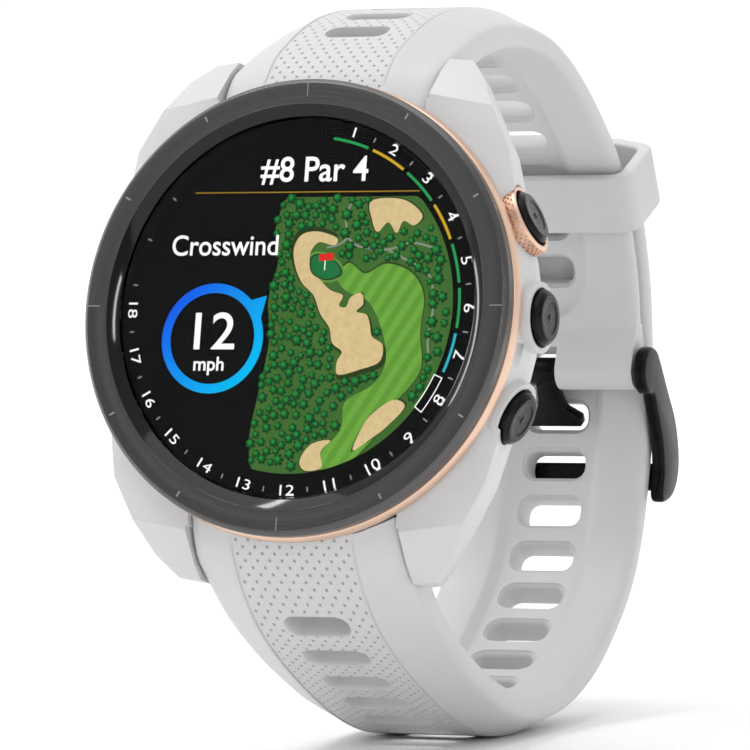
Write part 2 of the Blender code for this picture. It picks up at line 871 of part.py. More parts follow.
def slot_tool(name, line, start, count, parent):
    """Every slot of a strap half as one cutting tool."""
    bm = bmesh.new()
    for index in range(count):
        place = strap_place(line, start + index * SLOT_PITCH)
        add_prism(bm, slot_outline(SLOT_LENGTH, SLOT_HEIGHT), -5.0, 5.0, place)
    return helper(name, bm, parent)


def across_watch(y, z):
    """Axes whose z runs across the watch through a point, for pins and pivots."""
    return Matrix.Translation((0, y, z)) @ Matrix.Rotation(pi / 2, 4, "Y")


def build_straps(watch):
    """Both strap halves, with slots, bar holes, and the end that wraps the buckle pin."""
    short = strap_band("short_strap", SHORT_STRAP_LINE, (1.8, 1.05), 0.86, watch)
    long = strap_band("long_strap", LONG_STRAP_LINE, (1.8, 1.2), 1.1, watch)
    end = bmesh.new()
    add_cylinder(end, STRAP_END_RADIUS, -STRAP_HALF_WIDTH + 0.05, STRAP_HALF_WIDTH - 0.05,
                 across_watch(PIN_Y, PIN_Z), segments=20)
    join(short, helper("strap_end", end, watch))
    cut(short, slot_tool("short_slots", SHORT_STRAP_LINE, SHORT_SLOT_START, SHORT_SLOT_COUNT, watch))
    cut(long, slot_tool("long_slots", LONG_STRAP_LINE, LONG_SLOT_START, LONG_SLOT_COUNT, watch))

    bore = bmesh.new()
    add_cylinder(bore, PIN_HOLE_RADIUS, -12, 12, across_watch(PIN_Y, PIN_Z), segments=12)
    cut(short, helper("strap_end_bore", bore, watch))
    notch = bmesh.new()
    add_box(notch, (-NOTCH_HALF_WIDTH, -2.0, PIN_Z - 4.0), (NOTCH_HALF_WIDTH, PIN_Y + 2.2, PIN_Z + 4.0))
    cut(short, helper("prong_notch", notch, watch))

    for strap, side in ((short, 1), (long, -1)):
        bore = bmesh.new()
        add_cylinder(bore, BAR_TUBE_RADIUS + 0.1, -12, 12, across_watch(side * BAR_Y, BAR_Z), segments=12)
        cut(strap, helper(f"{strap.name}_bar_bore", bore, watch))
        window = bmesh.new()
        near, far = sorted((side * (BAR_Y - 0.75), side * (BAR_Y + 0.75)))
        add_box(window, (LEVER_X - 2.4, near, BAR_Z - 5.0), (LEVER_X + 1.0, far, BAR_Z))
        cut(strap, helper(f"{strap.name}_lever_window", window, watch))


def build_bar(watch, name, side):
    """A quick-release bar: tube with one fixed tip, and a sprung slider that a lever draws in."""
    axis = empty(f"{name}_bar_axis", watch, scaled(across_watch(side * BAR_Y, BAR_Z)))
    tube = turned(
        f"{name}_bar_tube",
        (
            (0.0, -11.3),
            (BAR_TIP_RADIUS, -11.3),
            (BAR_TIP_RADIUS, -10.25),
            (BAR_TUBE_RADIUS, -10.25),
            (BAR_TUBE_RADIUS, 10.25),
            (BAR_TUBE_BORE, 10.25),
            (BAR_TUBE_BORE, -2.5),
            (0.0, -2.5),
        ),
        "steel",
        axis,
        closed=False,
        segments=12,
    )
    # Turned so that the axis's own x points into the watch, where the lever comes out.
    window = bmesh.new()
    add_box(window, (0.0, -0.5, LEVER_X - 1.9), (3.0, 0.5, LEVER_X + 0.6))
    cut(tube, helper(f"{name}_bar_window", window, axis))
    slider = turned(
        f"{name}_bar_slider",
        ((0.0, 2.9), (BAR_TIP_RADIUS, 2.9), (BAR_TIP_RADIUS, 11.3), (0.0, 11.3)),
        "steel",
        axis,
        closed=False,
        segments=10,
    )
    lever = bmesh.new()
    add_box(lever, (0.0, -0.32, LEVER_X - 0.35), (2.6, 0.32, LEVER_X + 0.35))
    join(slider, helper(f"{name}_lever", lever, axis))
    coil = bmesh.new()
    add_helix(coil, 0.42, 0.1, -2.3, 2.7, turns=6, sides=4, steps=8)
    piece(f"{name}_bar_spring", coil, "steel", axis)


def build_keeper(watch):
    """The free loop that holds the strap's tail down, on its own axes along the strap."""
    tilt = radians(KEEPER_DIRECTION_DEG)
    along = Vector((0, -sin(tilt), -cos(tilt)))
    across = Vector((1, 0, 0))
    out = across.cross(along)
    place = Matrix((across, out, along)).transposed().to_4x4()
    place.translation = Vector((0, KEEPER_Y, KEEPER_Z))
    axis = empty("keeper_axis", watch, scaled(place))
    bm = bmesh.new()
    half = KEEPER_LENGTH / 2
    add_prism(bm, KEEPER_OUTER_OUTLINE, -half, half)
    keeper = piece("strap_keeper", bm, "white_silicone", axis)
    hole = bmesh.new()
    add_prism(hole, KEEPER_INNER_OUTLINE, -half - 1, half + 1)
    cut(keeper, helper("keeper_opening", hole, axis))


def arm_outline():
    """The buckle arm seen from the side, about the pin: (z, y) in the watch's directions."""
    boss = []
    for index in range(9):
        angle = radians(285 - 30 * index)
        boss.append((-ARM_BOSS_RADIUS * cos(angle), ARM_BOSS_RADIUS * sin(angle)))
    outer = ((-4.6, -1.2), (-7.0, -3.6), (-8.7, -6.6), (-8.9, -9.2), (-7.7, -11.4), (-5.0, -12.5))
    inner = ((-4.4, -11.8), (-4.6, -9.4), (-3.9, -7.0), (-2.7, -5.0), (-1.5, -3.4))
    return boss, outer, inner


def build_buckle(watch):
    """Pin, frame and prong, all on the pin's axis."""
    axis = empty("buckle_axis", watch, scaled(Matrix.Translation((0, PIN_Y, PIN_Z))))
    lay = Matrix.Rotation(pi / 2, 4, "Y")
    pin = bmesh.new()
    add_cylinder(pin, PIN_RADIUS, -PIN_HALF_LENGTH, PIN_HALF_LENGTH, lay, segments=12)
    piece("buckle_pin", pin, "black_metal", axis)

    # In the arm's plane x is the watch's z and y is the watch's y; extruding runs across the watch.
    side_on = Matrix(((0, 0, 1, 0), (0, 1, 0, 0), (1, 0, 0, 0), (0, 0, 0, 1)))
    boss, outer, inner = arm_outline()
    outline = boss + list(outer) + list(inner)
    frame_mesh = bmesh.new()
    add_prism(frame_mesh, outline, ARM_INNER_X, ARM_OUTER_X, side_on)
    frame = piece("buckle_frame", frame_mesh, "black_metal", axis)
    other = bmesh.new()
    add_prism(other, outline, -ARM_OUTER_X, -ARM_INNER_X, side_on)
    join(frame, helper("far_arm", other, axis))
    bar = bmesh.new()
    bar_outline = ((-8.8, -8.0), (-8.5, -10.2), (-7.7, -11.2), (-7.2, -11.0), (-7.15, -8.0))
    add_prism(bar, bar_outline, -ARM_INNER_X - 0.5, ARM_INNER_X + 0.5, side_on)
    join(frame, helper("buckle_bar", bar, axis))
    hole = bmesh.new()
    add_cylinder(hole, PIN_HOLE_RADIUS - 0.02, -11.2, 11.2, lay, segments=12)
    cut(frame, helper("frame_bore", hole, axis))

    tilt = radians(PRONG_ANGLE_DEG)
    away = Vector((0, -sin(tilt), cos(tilt)))
    across = Vector((1, 0, 0))
    up = across.cross(away)
    place = Matrix((across, away, up)).transposed().to_4x4()
    prong_mesh = bmesh.new()
    outline = [(width, reach) for reach, width in PRONG_WIDTHS]
    outline += [(-width, reach) for reach, width in reversed(PRONG_WIDTHS)]
    add_prism(prong_mesh, outline, -PRONG_THICKNESS / 2, PRONG_THICKNESS / 2, place)
    prong = piece("buckle_prong", prong_mesh, "black_metal", axis)
    eye = bmesh.new()
    add_cylinder(eye, 1.35, -1.4, 1.4, lay, segments=16)
    join(prong, helper("prong_eye", eye, axis))
    eye_hole = bmesh.new()
    add_cylinder(eye_hole, PIN_HOLE_RADIUS - 0.02, -3, 3, lay, segments=12)
    cut(prong, helper("prong_bore", eye_hole, axis))


def stand_on_floor(watch):
    """Puts the middle of the object's base at the origin."""
    bpy.context.view_layer.update()
    graph = bpy.context.evaluated_depsgraph_get()
    low = [float("inf")] * 3
    high = [float("-inf")] * 3
    for thing in bpy.data.objects:
        if thing.type != "MESH" or thing.hide_render:
            continue
        evaluated = thing.evaluated_get(graph)
        for vert in evaluated.data.vertices:
            point = evaluated.matrix_world @ vert.co
            low = [min(a, b) for a, b in zip(low, point)]
            high = [max(a, b) for a, b in zip(high, point)]
    watch.location = (-(low[0] + high[0]) / 2, -(low[1] + high[1]) / 2, -low[2])
    bpy.context.view_layer.update()


def main():
    clear_scene()
    watch = empty("watch_axes")
    watch.rotation_euler = (radians(90 - LEAN_BACK_DEG), 0, 0)
    build_front(watch)
    build_case(watch)
    build_rear(watch)
    build_inside(watch)
    for name, angle in BUTTON_ANGLES_DEG.items():
        build_button(watch, name, angle)
    build_straps(watch)
    build_bar(watch, "upper", 1)
    build_bar(watch, "lower", -1)
    build_keeper(watch)
    build_buckle(watch)
    stand_on_floor(watch)


main()
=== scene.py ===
"""The looks of a fastened golf GPS watch that stands on its strap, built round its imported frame.

Pieces are modelled in millimetres on the watch's own axes (x to the buttons, y to 12 o'clock, z out of
the dial, with zero at the bezel's front) and are then put into the frame's metres.
"""

from __future__ import annotations

import json
import logging
import random
from dataclasses import dataclass
from enum import Enum
from functools import cache, cached_property
from math import atan2, cos, hypot, pi, radians, sin
from typing import Iterable, Sequence

import bmesh
import bpy
from mathutils import Matrix, Vector

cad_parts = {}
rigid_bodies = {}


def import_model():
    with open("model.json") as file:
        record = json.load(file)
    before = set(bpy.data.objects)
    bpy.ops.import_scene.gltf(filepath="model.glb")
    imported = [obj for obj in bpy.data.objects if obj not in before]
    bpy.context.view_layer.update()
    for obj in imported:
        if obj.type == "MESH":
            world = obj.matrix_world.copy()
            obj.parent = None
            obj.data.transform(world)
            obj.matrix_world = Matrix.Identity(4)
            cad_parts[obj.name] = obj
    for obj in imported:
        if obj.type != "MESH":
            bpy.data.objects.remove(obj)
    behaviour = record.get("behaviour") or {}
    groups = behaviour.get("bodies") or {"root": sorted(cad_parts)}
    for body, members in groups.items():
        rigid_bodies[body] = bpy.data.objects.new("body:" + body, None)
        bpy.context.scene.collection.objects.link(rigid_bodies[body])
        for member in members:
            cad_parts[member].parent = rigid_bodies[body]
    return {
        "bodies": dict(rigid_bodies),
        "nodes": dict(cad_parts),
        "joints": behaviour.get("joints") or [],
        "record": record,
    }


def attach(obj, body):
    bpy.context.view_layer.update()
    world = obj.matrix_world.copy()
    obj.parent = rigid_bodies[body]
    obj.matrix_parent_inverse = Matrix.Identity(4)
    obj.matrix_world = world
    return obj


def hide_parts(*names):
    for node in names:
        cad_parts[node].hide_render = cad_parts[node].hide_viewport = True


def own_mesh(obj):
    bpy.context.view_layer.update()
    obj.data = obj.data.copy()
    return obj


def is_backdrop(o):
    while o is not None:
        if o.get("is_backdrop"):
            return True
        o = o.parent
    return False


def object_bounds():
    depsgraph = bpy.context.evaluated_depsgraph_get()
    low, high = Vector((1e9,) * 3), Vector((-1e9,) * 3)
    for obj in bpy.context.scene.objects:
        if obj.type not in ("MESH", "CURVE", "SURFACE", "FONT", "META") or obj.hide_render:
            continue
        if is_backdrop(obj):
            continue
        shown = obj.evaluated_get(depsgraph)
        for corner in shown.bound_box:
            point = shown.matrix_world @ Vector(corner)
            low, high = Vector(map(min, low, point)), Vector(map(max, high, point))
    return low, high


logging.basicConfig(level=logging.INFO, format="%(message)s")
log = logging.getLogger("watch")

MM = 0.001
BEZEL_TO_CASE_BACK = 12.45
FULL_TURN_STEPS = 160
STRAP_SHARP_DEG = 48.0
OFF_PANEL = 100.0
SHEET_THICKNESS = 0.005
CAPITAL_SHARE = 0.69
GRAIN_DEPTH = 0.0002
BROAD_GRAIN_SHARE = 0.06
BLACK = (0.0, 0.0, 0.0, 1.0)
BUTTON_ANGLES = {"upper": 24.5, "middle": 0.0, "lower": -24.5}
BUTTON_HEIGHT = -6.5
BAR_SPOT = (22.0, -8.0)
BUCKLE_PIN = (4.3, -60.6)
Point = tuple[float, float]
Colour = tuple[float, float, float]


class Body(Enum):
    """The moving bodies that pieces ride on."""

    WATCH = "watch"
    UPPER_BUTTON = "upper_button"
    MIDDLE_BUTTON = "middle_button"
    LOWER_BUTTON = "lower_button"
    KEEPER = "strap_keeper"
    BUCKLE = "buckle_frame"
    PRONG = "buckle_prong"


# ---------------------------------------------------------------- finishes


class Graph:
    """A shader node tree, wired up node by node."""

    def __init__(self, tree: bpy.types.NodeTree) -> None:
        """Wraps a node tree.

        Args:
            tree: The tree.
        """
        self.tree = tree

    @property
    def shader(self) -> bpy.types.Node:
        """The tree's main shader."""
        return self.tree.nodes["Principled BSDF"]

    def first(self, kind: str) -> bpy.types.Node:
        """Finds a node.

        Args:
            kind: The node's type.

        Returns:
            The first node of that type.
        """
        return next(node for node in self.tree.nodes if node.type == kind)

    def feed(self, node: bpy.types.Node, inputs: dict) -> None:
        """Sets or links some of a node's inputs.

        Args:
            node: The node.
            inputs: A value, or an output to link, for each input's name or number.
        """
        for key, value in inputs.items():
            if isinstance(value, bpy.types.NodeSocket):
                self.tree.links.new(value, node.inputs[key])
            else:
                node.inputs[key].default_value = value

    def add(self, kind: str, inputs: dict | None = None, **settings: object) -> bpy.types.Node:
        """Adds a node.

        Args:
            kind: The node's type, as its class is named.
            inputs: A value, or an output to link, for each input's name or number.
            **settings: The node's own settings.

        Returns:
            The node.
        """
        node = self.tree.nodes.new(f"ShaderNode{kind}")
        for name, value in settings.items():
            setattr(node, name, value)
        self.feed(node, inputs or {})
        return node

    def maths(self, operation: str, *values: object) -> bpy.types.NodeSocket:
        """Adds one Math node.

        Args:
            operation: The node's operation.
            *values: A number, or an output to link, for each of its inputs.

        Returns:
            The node's output.
        """
        return self.add("Math", dict(enumerate(values)), operation=operation).outputs[0]

    def blend(self, share: object, first: object, second: object) -> bpy.types.NodeSocket:
        """Adds a mix of two colours.

        Args:
            share: How much of the second colour there is.
            first: The first colour, or an output.
            second: The second colour, or an output.

        Returns:
            The mixed colour.
        """
        return self.add("Mix", {0: share, 6: first, 7: second}, data_type="RGBA").outputs[2]


def new_group(
    name: str, inputs: Sequence[tuple[str, str, object]], outputs: Sequence[tuple[str, str]]
) -> tuple[Graph, bpy.types.NodeOutputs, bpy.types.Node]:
    """Starts a shader node group.

    Args:
        name: The group's name.
        inputs: Each input's name, socket type and default value.
        outputs: Each output's name and socket type.

    Returns:
        The group's graph, what comes in and the node that it ends in.
    """
    tree = bpy.data.node_groups.new(name, "ShaderNodeTree")
    for label, kind, default in inputs:
        socket = tree.interface.new_socket(label, in_out="INPUT", socket_type=kind)
        if default is not None:
            socket.default_value = default
    for label, kind in outputs:
        tree.interface.new_socket(label, in_out="OUTPUT", socket_type=kind)
    return Graph(tree), tree.nodes.new("NodeGroupInput").outputs, tree.nodes.new("NodeGroupOutput")


@cache
def grain_group() -> bpy.types.ShaderNodeTree:
    """The moulded or cast grain that most surfaces share.

    Returns:
        A group that puts out a colour between two, a roughness and a height, from two sizes of noise.
    """
    graph, given, end = new_group(
        "surface_grain",
        (
            ("Vector", "NodeSocketVector", None),
            ("Scale", "NodeSocketFloat", 3000.0),
            ("Colour A", "NodeSocketColor", (0.8, 0.8, 0.8, 1.0)),
            ("Colour B", "NodeSocketColor", (0.7, 0.7, 0.7, 1.0)),
            ("Roughness Low", "NodeSocketFloat", 0.3),
            ("Roughness High", "NodeSocketFloat", 0.5),
        ),
        (("Colour", "NodeSocketColor"), ("Roughness", "NodeSocketFloat"), ("Height", "NodeSocketFloat")),
    )
    vector, scale = given["Vector"], given["Scale"]
    fine = graph.add("TexNoise", {"Vector": vector, "Scale": scale, "Detail": 4.0}).outputs["Fac"]
    broad_scale = graph.maths("MULTIPLY", scale, BROAD_GRAIN_SHARE)
    broad = graph.add("TexNoise", {"Vector": vector, "Scale": broad_scale, "Detail": 2.0}).outputs["Fac"]
    gloss = graph.add(
        "MapRange", {"Value": fine, "To Min": given["Roughness Low"], "To Max": given["Roughness High"]}
    )
    tint = graph.blend(broad, given["Colour A"], given["Colour B"])
    graph.feed(end, {"Colour": tint, "Roughness": gloss.outputs["Result"], "Height": fine})
    return graph.tree


@cache
def pit_group() -> bpy.types.ShaderNodeTree:
    """Small pits in staggered rows over the strap's raised panel.

    Returns:
        A group that puts out a mask, 1 in a pit, from surface coordinates in millimetres.
    """
    graph, given, end = new_group(
        "panel_pits",
        (
            ("Vector", "NodeSocketVector", None),
            ("Across Pitch", "NodeSocketFloat", 1.23),
            ("Along Pitch", "NodeSocketFloat", 1.2),
            ("Radius", "NodeSocketFloat", 0.15),
            ("Panel Half Width", "NodeSocketFloat", 5.75),
        ),
        (("Mask", "NodeSocketFloat"),),
    )
    maths = graph.maths
    across, along, _ = graph.add("SeparateXYZ", {0: given["Vector"]}).outputs
    distances = []
    for shift in (0.0, 0.5):
        offsets = []
        for value, pitch in ((across, given["Across Pitch"]), (along, given["Along Pitch"])):
            cell = maths("FRACT", maths("ADD", maths("DIVIDE", value, pitch), shift))
            offsets.append(maths("MULTIPLY", maths("SUBTRACT", cell, 0.5), pitch))
        squares = [maths("MULTIPLY", offset, offset) for offset in offsets]
        distances.append(maths("SQRT", maths("ADD", *squares)))
    nearest = maths("MINIMUM", *distances)
    depth = maths("SUBTRACT", 1.0, maths("DIVIDE", nearest, given["Radius"]))
    pit = graph.add("Clamp", {"Value": maths("MULTIPLY", depth, 2.0)}).outputs[0]
    on_panel = maths("LESS_THAN", maths("ABSOLUTE", across), given["Panel Half Width"])
    graph.feed(end, {"Mask": maths("MULTIPLY", pit, on_panel)})
    return graph.tree


@dataclass(frozen=True)
class Surface:
    """What a piece is made of."""

    name: str

    def material(self) -> bpy.types.Material:
        """The material of this name, made if there is none yet.

        Returns:
            The Blender material.
        """
        found = bpy.data.materials.get(self.name)
        if found:
            return found
        made = bpy.data.materials.new(self.name)
        made.use_nodes = True
        self.fill(Graph(made.node_tree))
        return made

    def fill(self, graph: Graph) -> None:
        """Wires up the material's nodes.

        Args:
            graph: The material's nodes.
        """
        raise NotImplementedError


@dataclass(frozen=True)
class Finish(Surface):
    """A surface finish: two near colours, a range of roughness and a grain."""

    colour: Colour
    second: Colour
    rough_low: float
    rough_high: float
    metallic: float = 0.0
    grain: float = 3000.0
    bump: float = 0.05
    stretch: tuple[float, float, float] = (1.0, 1.0, 1.0)
    on_surface: bool = False
    coat: float = 0.0
    sheen: float = 0.0
    glow: float = 0.0
    specular: float = 0.5
    spun: float = 0.0

    def fill(self, graph: Graph) -> None:
        """Wires up the grain, then the turning marks or the glow.

        Args:
            graph: The material's nodes.
        """
        place = graph.add("TexCoord").outputs["UV" if self.on_surface else "Object"]
        mapping = graph.add("Mapping", {"Scale": self.stretch, "Vector": place})
        grain = graph.add(
            "Group",
            {
                "Vector": mapping.outputs["Vector"],
                "Scale": self.grain,
                "Colour A": (*self.colour, 1.0),
                "Colour B": (*self.second, 1.0),
                "Roughness Low": self.rough_low,
                "Roughness High": self.rough_high,
            },
            node_tree=grain_group(),
        ).outputs
        bump = graph.add("Bump", {"Strength": self.bump, "Distance": GRAIN_DEPTH, "Height": grain["Height"]})
        inputs = {
            "Normal": bump.outputs["Normal"],
            "Roughness": grain["Roughness"],
            "Metallic": self.metallic,
            "Coat Weight": self.coat,
            "Sheen Weight": self.sheen,
            "Specular IOR Level": self.specular,
            "Base Color": grain["Colour"],
        }
        if self.spun:
            tangent = graph.add("Tangent", direction_type="UV_MAP").outputs["Tangent"]
            inputs |= {"Anisotropic": self.spun, "Tangent": tangent}
        if self.glow:
            inputs |= {"Base Color": BLACK, "Specular IOR Level": 0.0}
            inputs |= {"Emission Strength": self.glow, "Emission Color": grain["Colour"]}
        graph.feed(graph.shader, inputs)


@dataclass(frozen=True)
class TwoEndedGlow(Finish):
    """A lit surface whose colour runs evenly from one side to the other."""

    turn_deg: float = -40.0
    reach: float = 5.0

    def fill(self, graph: Graph) -> None:
        """Wires up the run of colour over the plain glow.

        Args:
            graph: The material's nodes.
        """
        super().fill(graph)
        mapping = graph.first("MAPPING")
        graph.feed(mapping, {"Rotation": (0.0, 0.0, radians(-self.turn_deg))})
        side = graph.add("SeparateXYZ", {0: mapping.outputs["Vector"]}).outputs[0]
        share = graph.add("MapRange", {"From Min": -self.reach, "From Max": self.reach, "Value": side})
        tint = graph.blend(share.outputs["Result"], (*self.colour, 1.0), (*self.second, 1.0))
        graph.feed(graph.shader, {"Emission Color": tint})


@dataclass(frozen=True)
class PittedSilicone(Finish):
    """Soft strap silicone, with pits over the raised panel that are painted a darker grey inside as painted
    shade.
    """

    # painted shade: the darker grey painted into each pit for the shade that falls in it
    pit_colour: Colour = (0.30, 0.30, 0.31)
    pit_strength: float = 0.8
    pit_depth: float = 0.00015

    def fill(self, graph: Graph) -> None:
        """Wires up the pits over the plain silicone: a bump dents them, and a darker grey is painted in them
        as painted shade.

        Args:
            graph: The material's nodes.
        """
        super().fill(graph)
        grain, bump = graph.first("GROUP"), graph.first("BUMP")
        surface = graph.add("TexCoord").outputs["UV"]
        mask = graph.add("Group", {"Vector": surface}, node_tree=pit_group()).outputs["Mask"]
        # painted shade: the pits' mask blends the silicone towards the darker pit grey
        tint = graph.blend(mask, grain.outputs["Colour"], (*self.pit_colour, 1.0))
        dents = graph.add(
            "Bump",
            {
                "Strength": self.pit_strength,
                "Distance": self.pit_depth,
                "Height": mask,
                "Normal": bump.outputs["Normal"],
            },
            invert=True,
        )
        graph.feed(graph.shader, {"Base Color": tint, "Normal": dents.outputs["Normal"]})


@dataclass(frozen=True)
class Glass(Surface):
    """Clear cover glass."""

    tint: Colour = (1.0, 1.0, 1.0)
    roughness: float = 0.0
    ior: float = 1.15

    def fill(self, graph: Graph) -> None:
        """Sets the shader to glass.

        Args:
            graph: The material's nodes.
        """
        graph.feed(
            graph.shader,
            {
                "Base Color": (*self.tint, 1.0),
                "Roughness": self.roughness,
                "Metallic": 0.0,
                "IOR": self.ior,
                "Transmission Weight": 1.0,
            },
        )


CASE_POLYMER = Finish(
    "case_polymer", (0.60, 0.60, 0.607), (0.575, 0.575, 0.582), 0.30, 0.42, grain=5000, bump=0.04
)
STRAP_SILICONE = PittedSilicone(
    "strap_silicone", (0.58, 0.58, 0.587), (0.555, 0.555, 0.562), 0.40, 0.54, grain=6000, bump=0.05, sheen=0.1
)
KEEPER_SILICONE = Finish(
    "keeper_silicone", (0.58, 0.58, 0.587), (0.555, 0.555, 0.562), 0.38, 0.52, grain=6000, bump=0.05
)
BEZEL_BRUSHED = Finish(
    "bezel_brushed", (0.060, 0.0585, 0.059), (0.150, 0.146, 0.147), 0.16, 0.32, 1.0, 1.0, 0.22,
    (0.22, 16.0, 1.0), True,
)
BEZEL_POLISHED = Finish(
    "bezel_polished", (0.024, 0.024, 0.025), (0.032, 0.032, 0.033), 0.05, 0.10, 1.0, 0.6, 0.02,
    on_surface=True,
)
TICK_GREY = Finish("tick_grey", (0.24, 0.24, 0.245), (0.21, 0.21, 0.215), 0.4, 0.5, 0.0, 6000, 0.05)
ROSE_GOLD = Finish(
    "rose_gold", (0.17, 0.108, 0.058), (0.28, 0.183, 0.106), 0.16, 0.32, 1.0, 1.0, 0.10, (0.3, 8.0, 1.0), True
)
GUN_METAL = Finish(
    "gun_metal", (0.012, 0.012, 0.013), (0.026, 0.025, 0.026), 0.18, 0.32, 1.0, 1.0, 0.25,
    (0.5, 10.0, 1.0), True, spun=0.75,
)
BUCKLE_BLACK = Finish(
    "buckle_black", (0.008, 0.008, 0.009), (0.016, 0.015, 0.016), 0.22, 0.36, 0.9, 2500, 0.06,
    (1.0, 1.0, 0.15), specular=0.3,
)
STEEL = Finish("machined_steel", (0.55, 0.55, 0.56), (0.62, 0.62, 0.63), 0.18, 0.34, 1.0, 4000, 0.06)
COPPER = Finish("antenna_copper", (0.72, 0.38, 0.22), (0.65, 0.33, 0.20), 0.25, 0.40, 1.0, 4000, 0.05)
GOLD = Finish("contact_gold", (0.90, 0.68, 0.30), (0.82, 0.60, 0.26), 0.15, 0.30, 1.0, 5000, 0.04)
FOIL = Finish("battery_foil", (0.55, 0.56, 0.58), (0.48, 0.49, 0.51), 0.35, 0.60, 0.8, 1800, 0.30)
BOARD = Finish("board_mask", (0.015, 0.13, 0.06), (0.03, 0.20, 0.09), 0.35, 0.55, 0.0, 1500, 0.10, coat=0.3)
RUBBER = Finish("seal_rubber", (0.02, 0.02, 0.02), (0.03, 0.03, 0.03), 0.70, 0.85, 0.0, 5000, 0.10)
BLACK_PLASTIC = Finish(
    "black_plastic", (0.03, 0.03, 0.03), (0.045, 0.045, 0.045), 0.40, 0.60, 0.0, 4000, 0.08
)
SCREEN_BLACK = Finish(
    "screen_black", (0.002, 0.002, 0.0025), (0.003, 0.003, 0.0035), 0.3, 0.4, bump=0.0, specular=0.02
)
FLOOR_PAPER = Finish(
    "floor_paper", (0.95, 0.95, 0.95), (0.94, 0.94, 0.94), 0.7, 0.8, grain=4.0, bump=0.0, specular=0.1
)
LENS_GLASS = Glass("lens_glass")
SENSOR_GLASS = Glass("sensor_glass", (0.06, 0.06, 0.066), 0.05, 1.45)


def lit(name: str, colour: Colour, second: Colour, grain: float = 2000.0, glow: float = 1.0) -> Finish:
    """A lit colour on the display.

    Args:
        name: The material's name.
        colour: The main colour.
        second: A near colour that it varies towards.
        grain: The size of the variation.
        glow: How strongly it is lit.

    Returns:
        The finish.
    """
    return Finish(name, colour, second, 0.3, 0.4, grain=grain, bump=0.0, glow=glow)


LIT_WHITE = lit("lit_white", (0.92, 0.92, 0.92), (0.85, 0.85, 0.85), glow=1.15)
LIT_GREY = lit("lit_grey", (0.33, 0.33, 0.34), (0.26, 0.26, 0.27))
LIT_GOLD = lit("lit_gold", (0.55, 0.33, 0.03), (0.42, 0.25, 0.02))
LIT_GREEN = lit("lit_green", (0.02, 0.36, 0.09), (0.02, 0.30, 0.08))
LIT_YELLOW = lit("lit_yellow", (0.65, 0.42, 0.02), (0.58, 0.36, 0.02))
LIT_CYAN = lit("lit_cyan", (0.03, 0.45, 0.55), (0.02, 0.38, 0.50))
LIT_BLUE = TwoEndedGlow(
    "lit_blue", (0.007, 0.10, 0.82), (0.0, 0.50, 0.90), 0.3, 0.4, bump=0.0, on_surface=True, glow=1.0
)
LIT_RED = lit("lit_red", (0.80, 0.03, 0.02), (0.65, 0.02, 0.02))
ROUGH_GRASS = lit("rough_grass", (0.040, 0.125, 0.022), (0.066, 0.170, 0.036), 6000.0)
FAIRWAY_DARK = lit("fairway_dark", (0.120, 0.330, 0.040), (0.110, 0.305, 0.036), 9000.0)
FAIRWAY_LIGHT = lit("fairway_light", (0.165, 0.400, 0.055), (0.150, 0.375, 0.050), 9000.0)
PUTTING_GREEN = lit("putting_green", (0.016, 0.19, 0.055), (0.012, 0.15, 0.045), 5000.0)
APRON_GREEN = lit("apron_green", (0.12, 0.32, 0.06), (0.11, 0.29, 0.05), 5000.0)
SAND = lit("sand", (0.78, 0.62, 0.33), (0.58, 0.43, 0.20), 30000.0)
OUTLINE_DARK = lit("outline_dark", (0.030, 0.055, 0.014), (0.022, 0.04, 0.01))
PATH_GREY = lit("path_grey", (0.27, 0.31, 0.25), (0.20, 0.24, 0.19), 6000.0)
TREE_SHADE = lit("tree_shade", (0.004, 0.032, 0.010), (0.006, 0.046, 0.014), 12000.0)
TREE_DARK = lit("tree_dark", (0.007, 0.085, 0.020), (0.010, 0.12, 0.026), 12000.0)
TREE_LIGHT = lit("tree_light", (0.018, 0.30, 0.045), (0.014, 0.21, 0.034), 12000.0)

SLOT_FINISHES = {
    "white_polymer": CASE_POLYMER,
    "white_silicone": KEEPER_SILICONE,
    "grey_ceramic": BEZEL_POLISHED,
    "rose_gold": ROSE_GOLD,
    "black_metal": BUCKLE_BLACK,
    "clear_glass": LENS_GLASS,
    "display": SCREEN_BLACK,
    "black_rubber": RUBBER,
    "steel": STEEL,
    "board_green": BOARD,
    "copper": COPPER,
    "gold": GOLD,
    "battery_foil": FOIL,
    "black_plastic": BLACK_PLASTIC,
}


# ---------------------------------------------------------------- places and shapes


@dataclass(frozen=True)
class WatchAxes:
    """The watch's own axes in the frame."""

    to_frame: Matrix

    @classmethod
    def from_record(cls, record: dict) -> WatchAxes:
        """Finds the axes from the case back's mount.

        Args:
            record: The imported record.

        Returns:
            The axes.
        """
        back = next(mount for mount in record["mounts"] if mount["name"] == "case_back")
        dial = -Vector(back["axis"]).normalized()
        right = Vector((1.0, 0.0, 0.0))
        twelve = dial.cross(right)
        turn = Matrix((right, twelve, dial)).transposed().to_4x4()
        centre = Vector(back["pos_m"]) + dial * BEZEL_TO_CASE_BACK * MM
        return cls(Matrix.Translation(centre) @ turn @ Matrix.Scale(MM, 4))

    def button(self, name: str) -> Matrix:
        """The axes of a button, whose z runs outwards, still in millimetres.

        Args:
            name: Which button.

        Returns:
            The axes.
        """
        spin = Matrix.Rotation(radians(BUTTON_ANGLES[name]), 4, "Z")
        return Matrix.Translation((0, 0, BUTTON_HEIGHT)) @ spin @ Matrix.Rotation(pi / 2, 4, "Y")


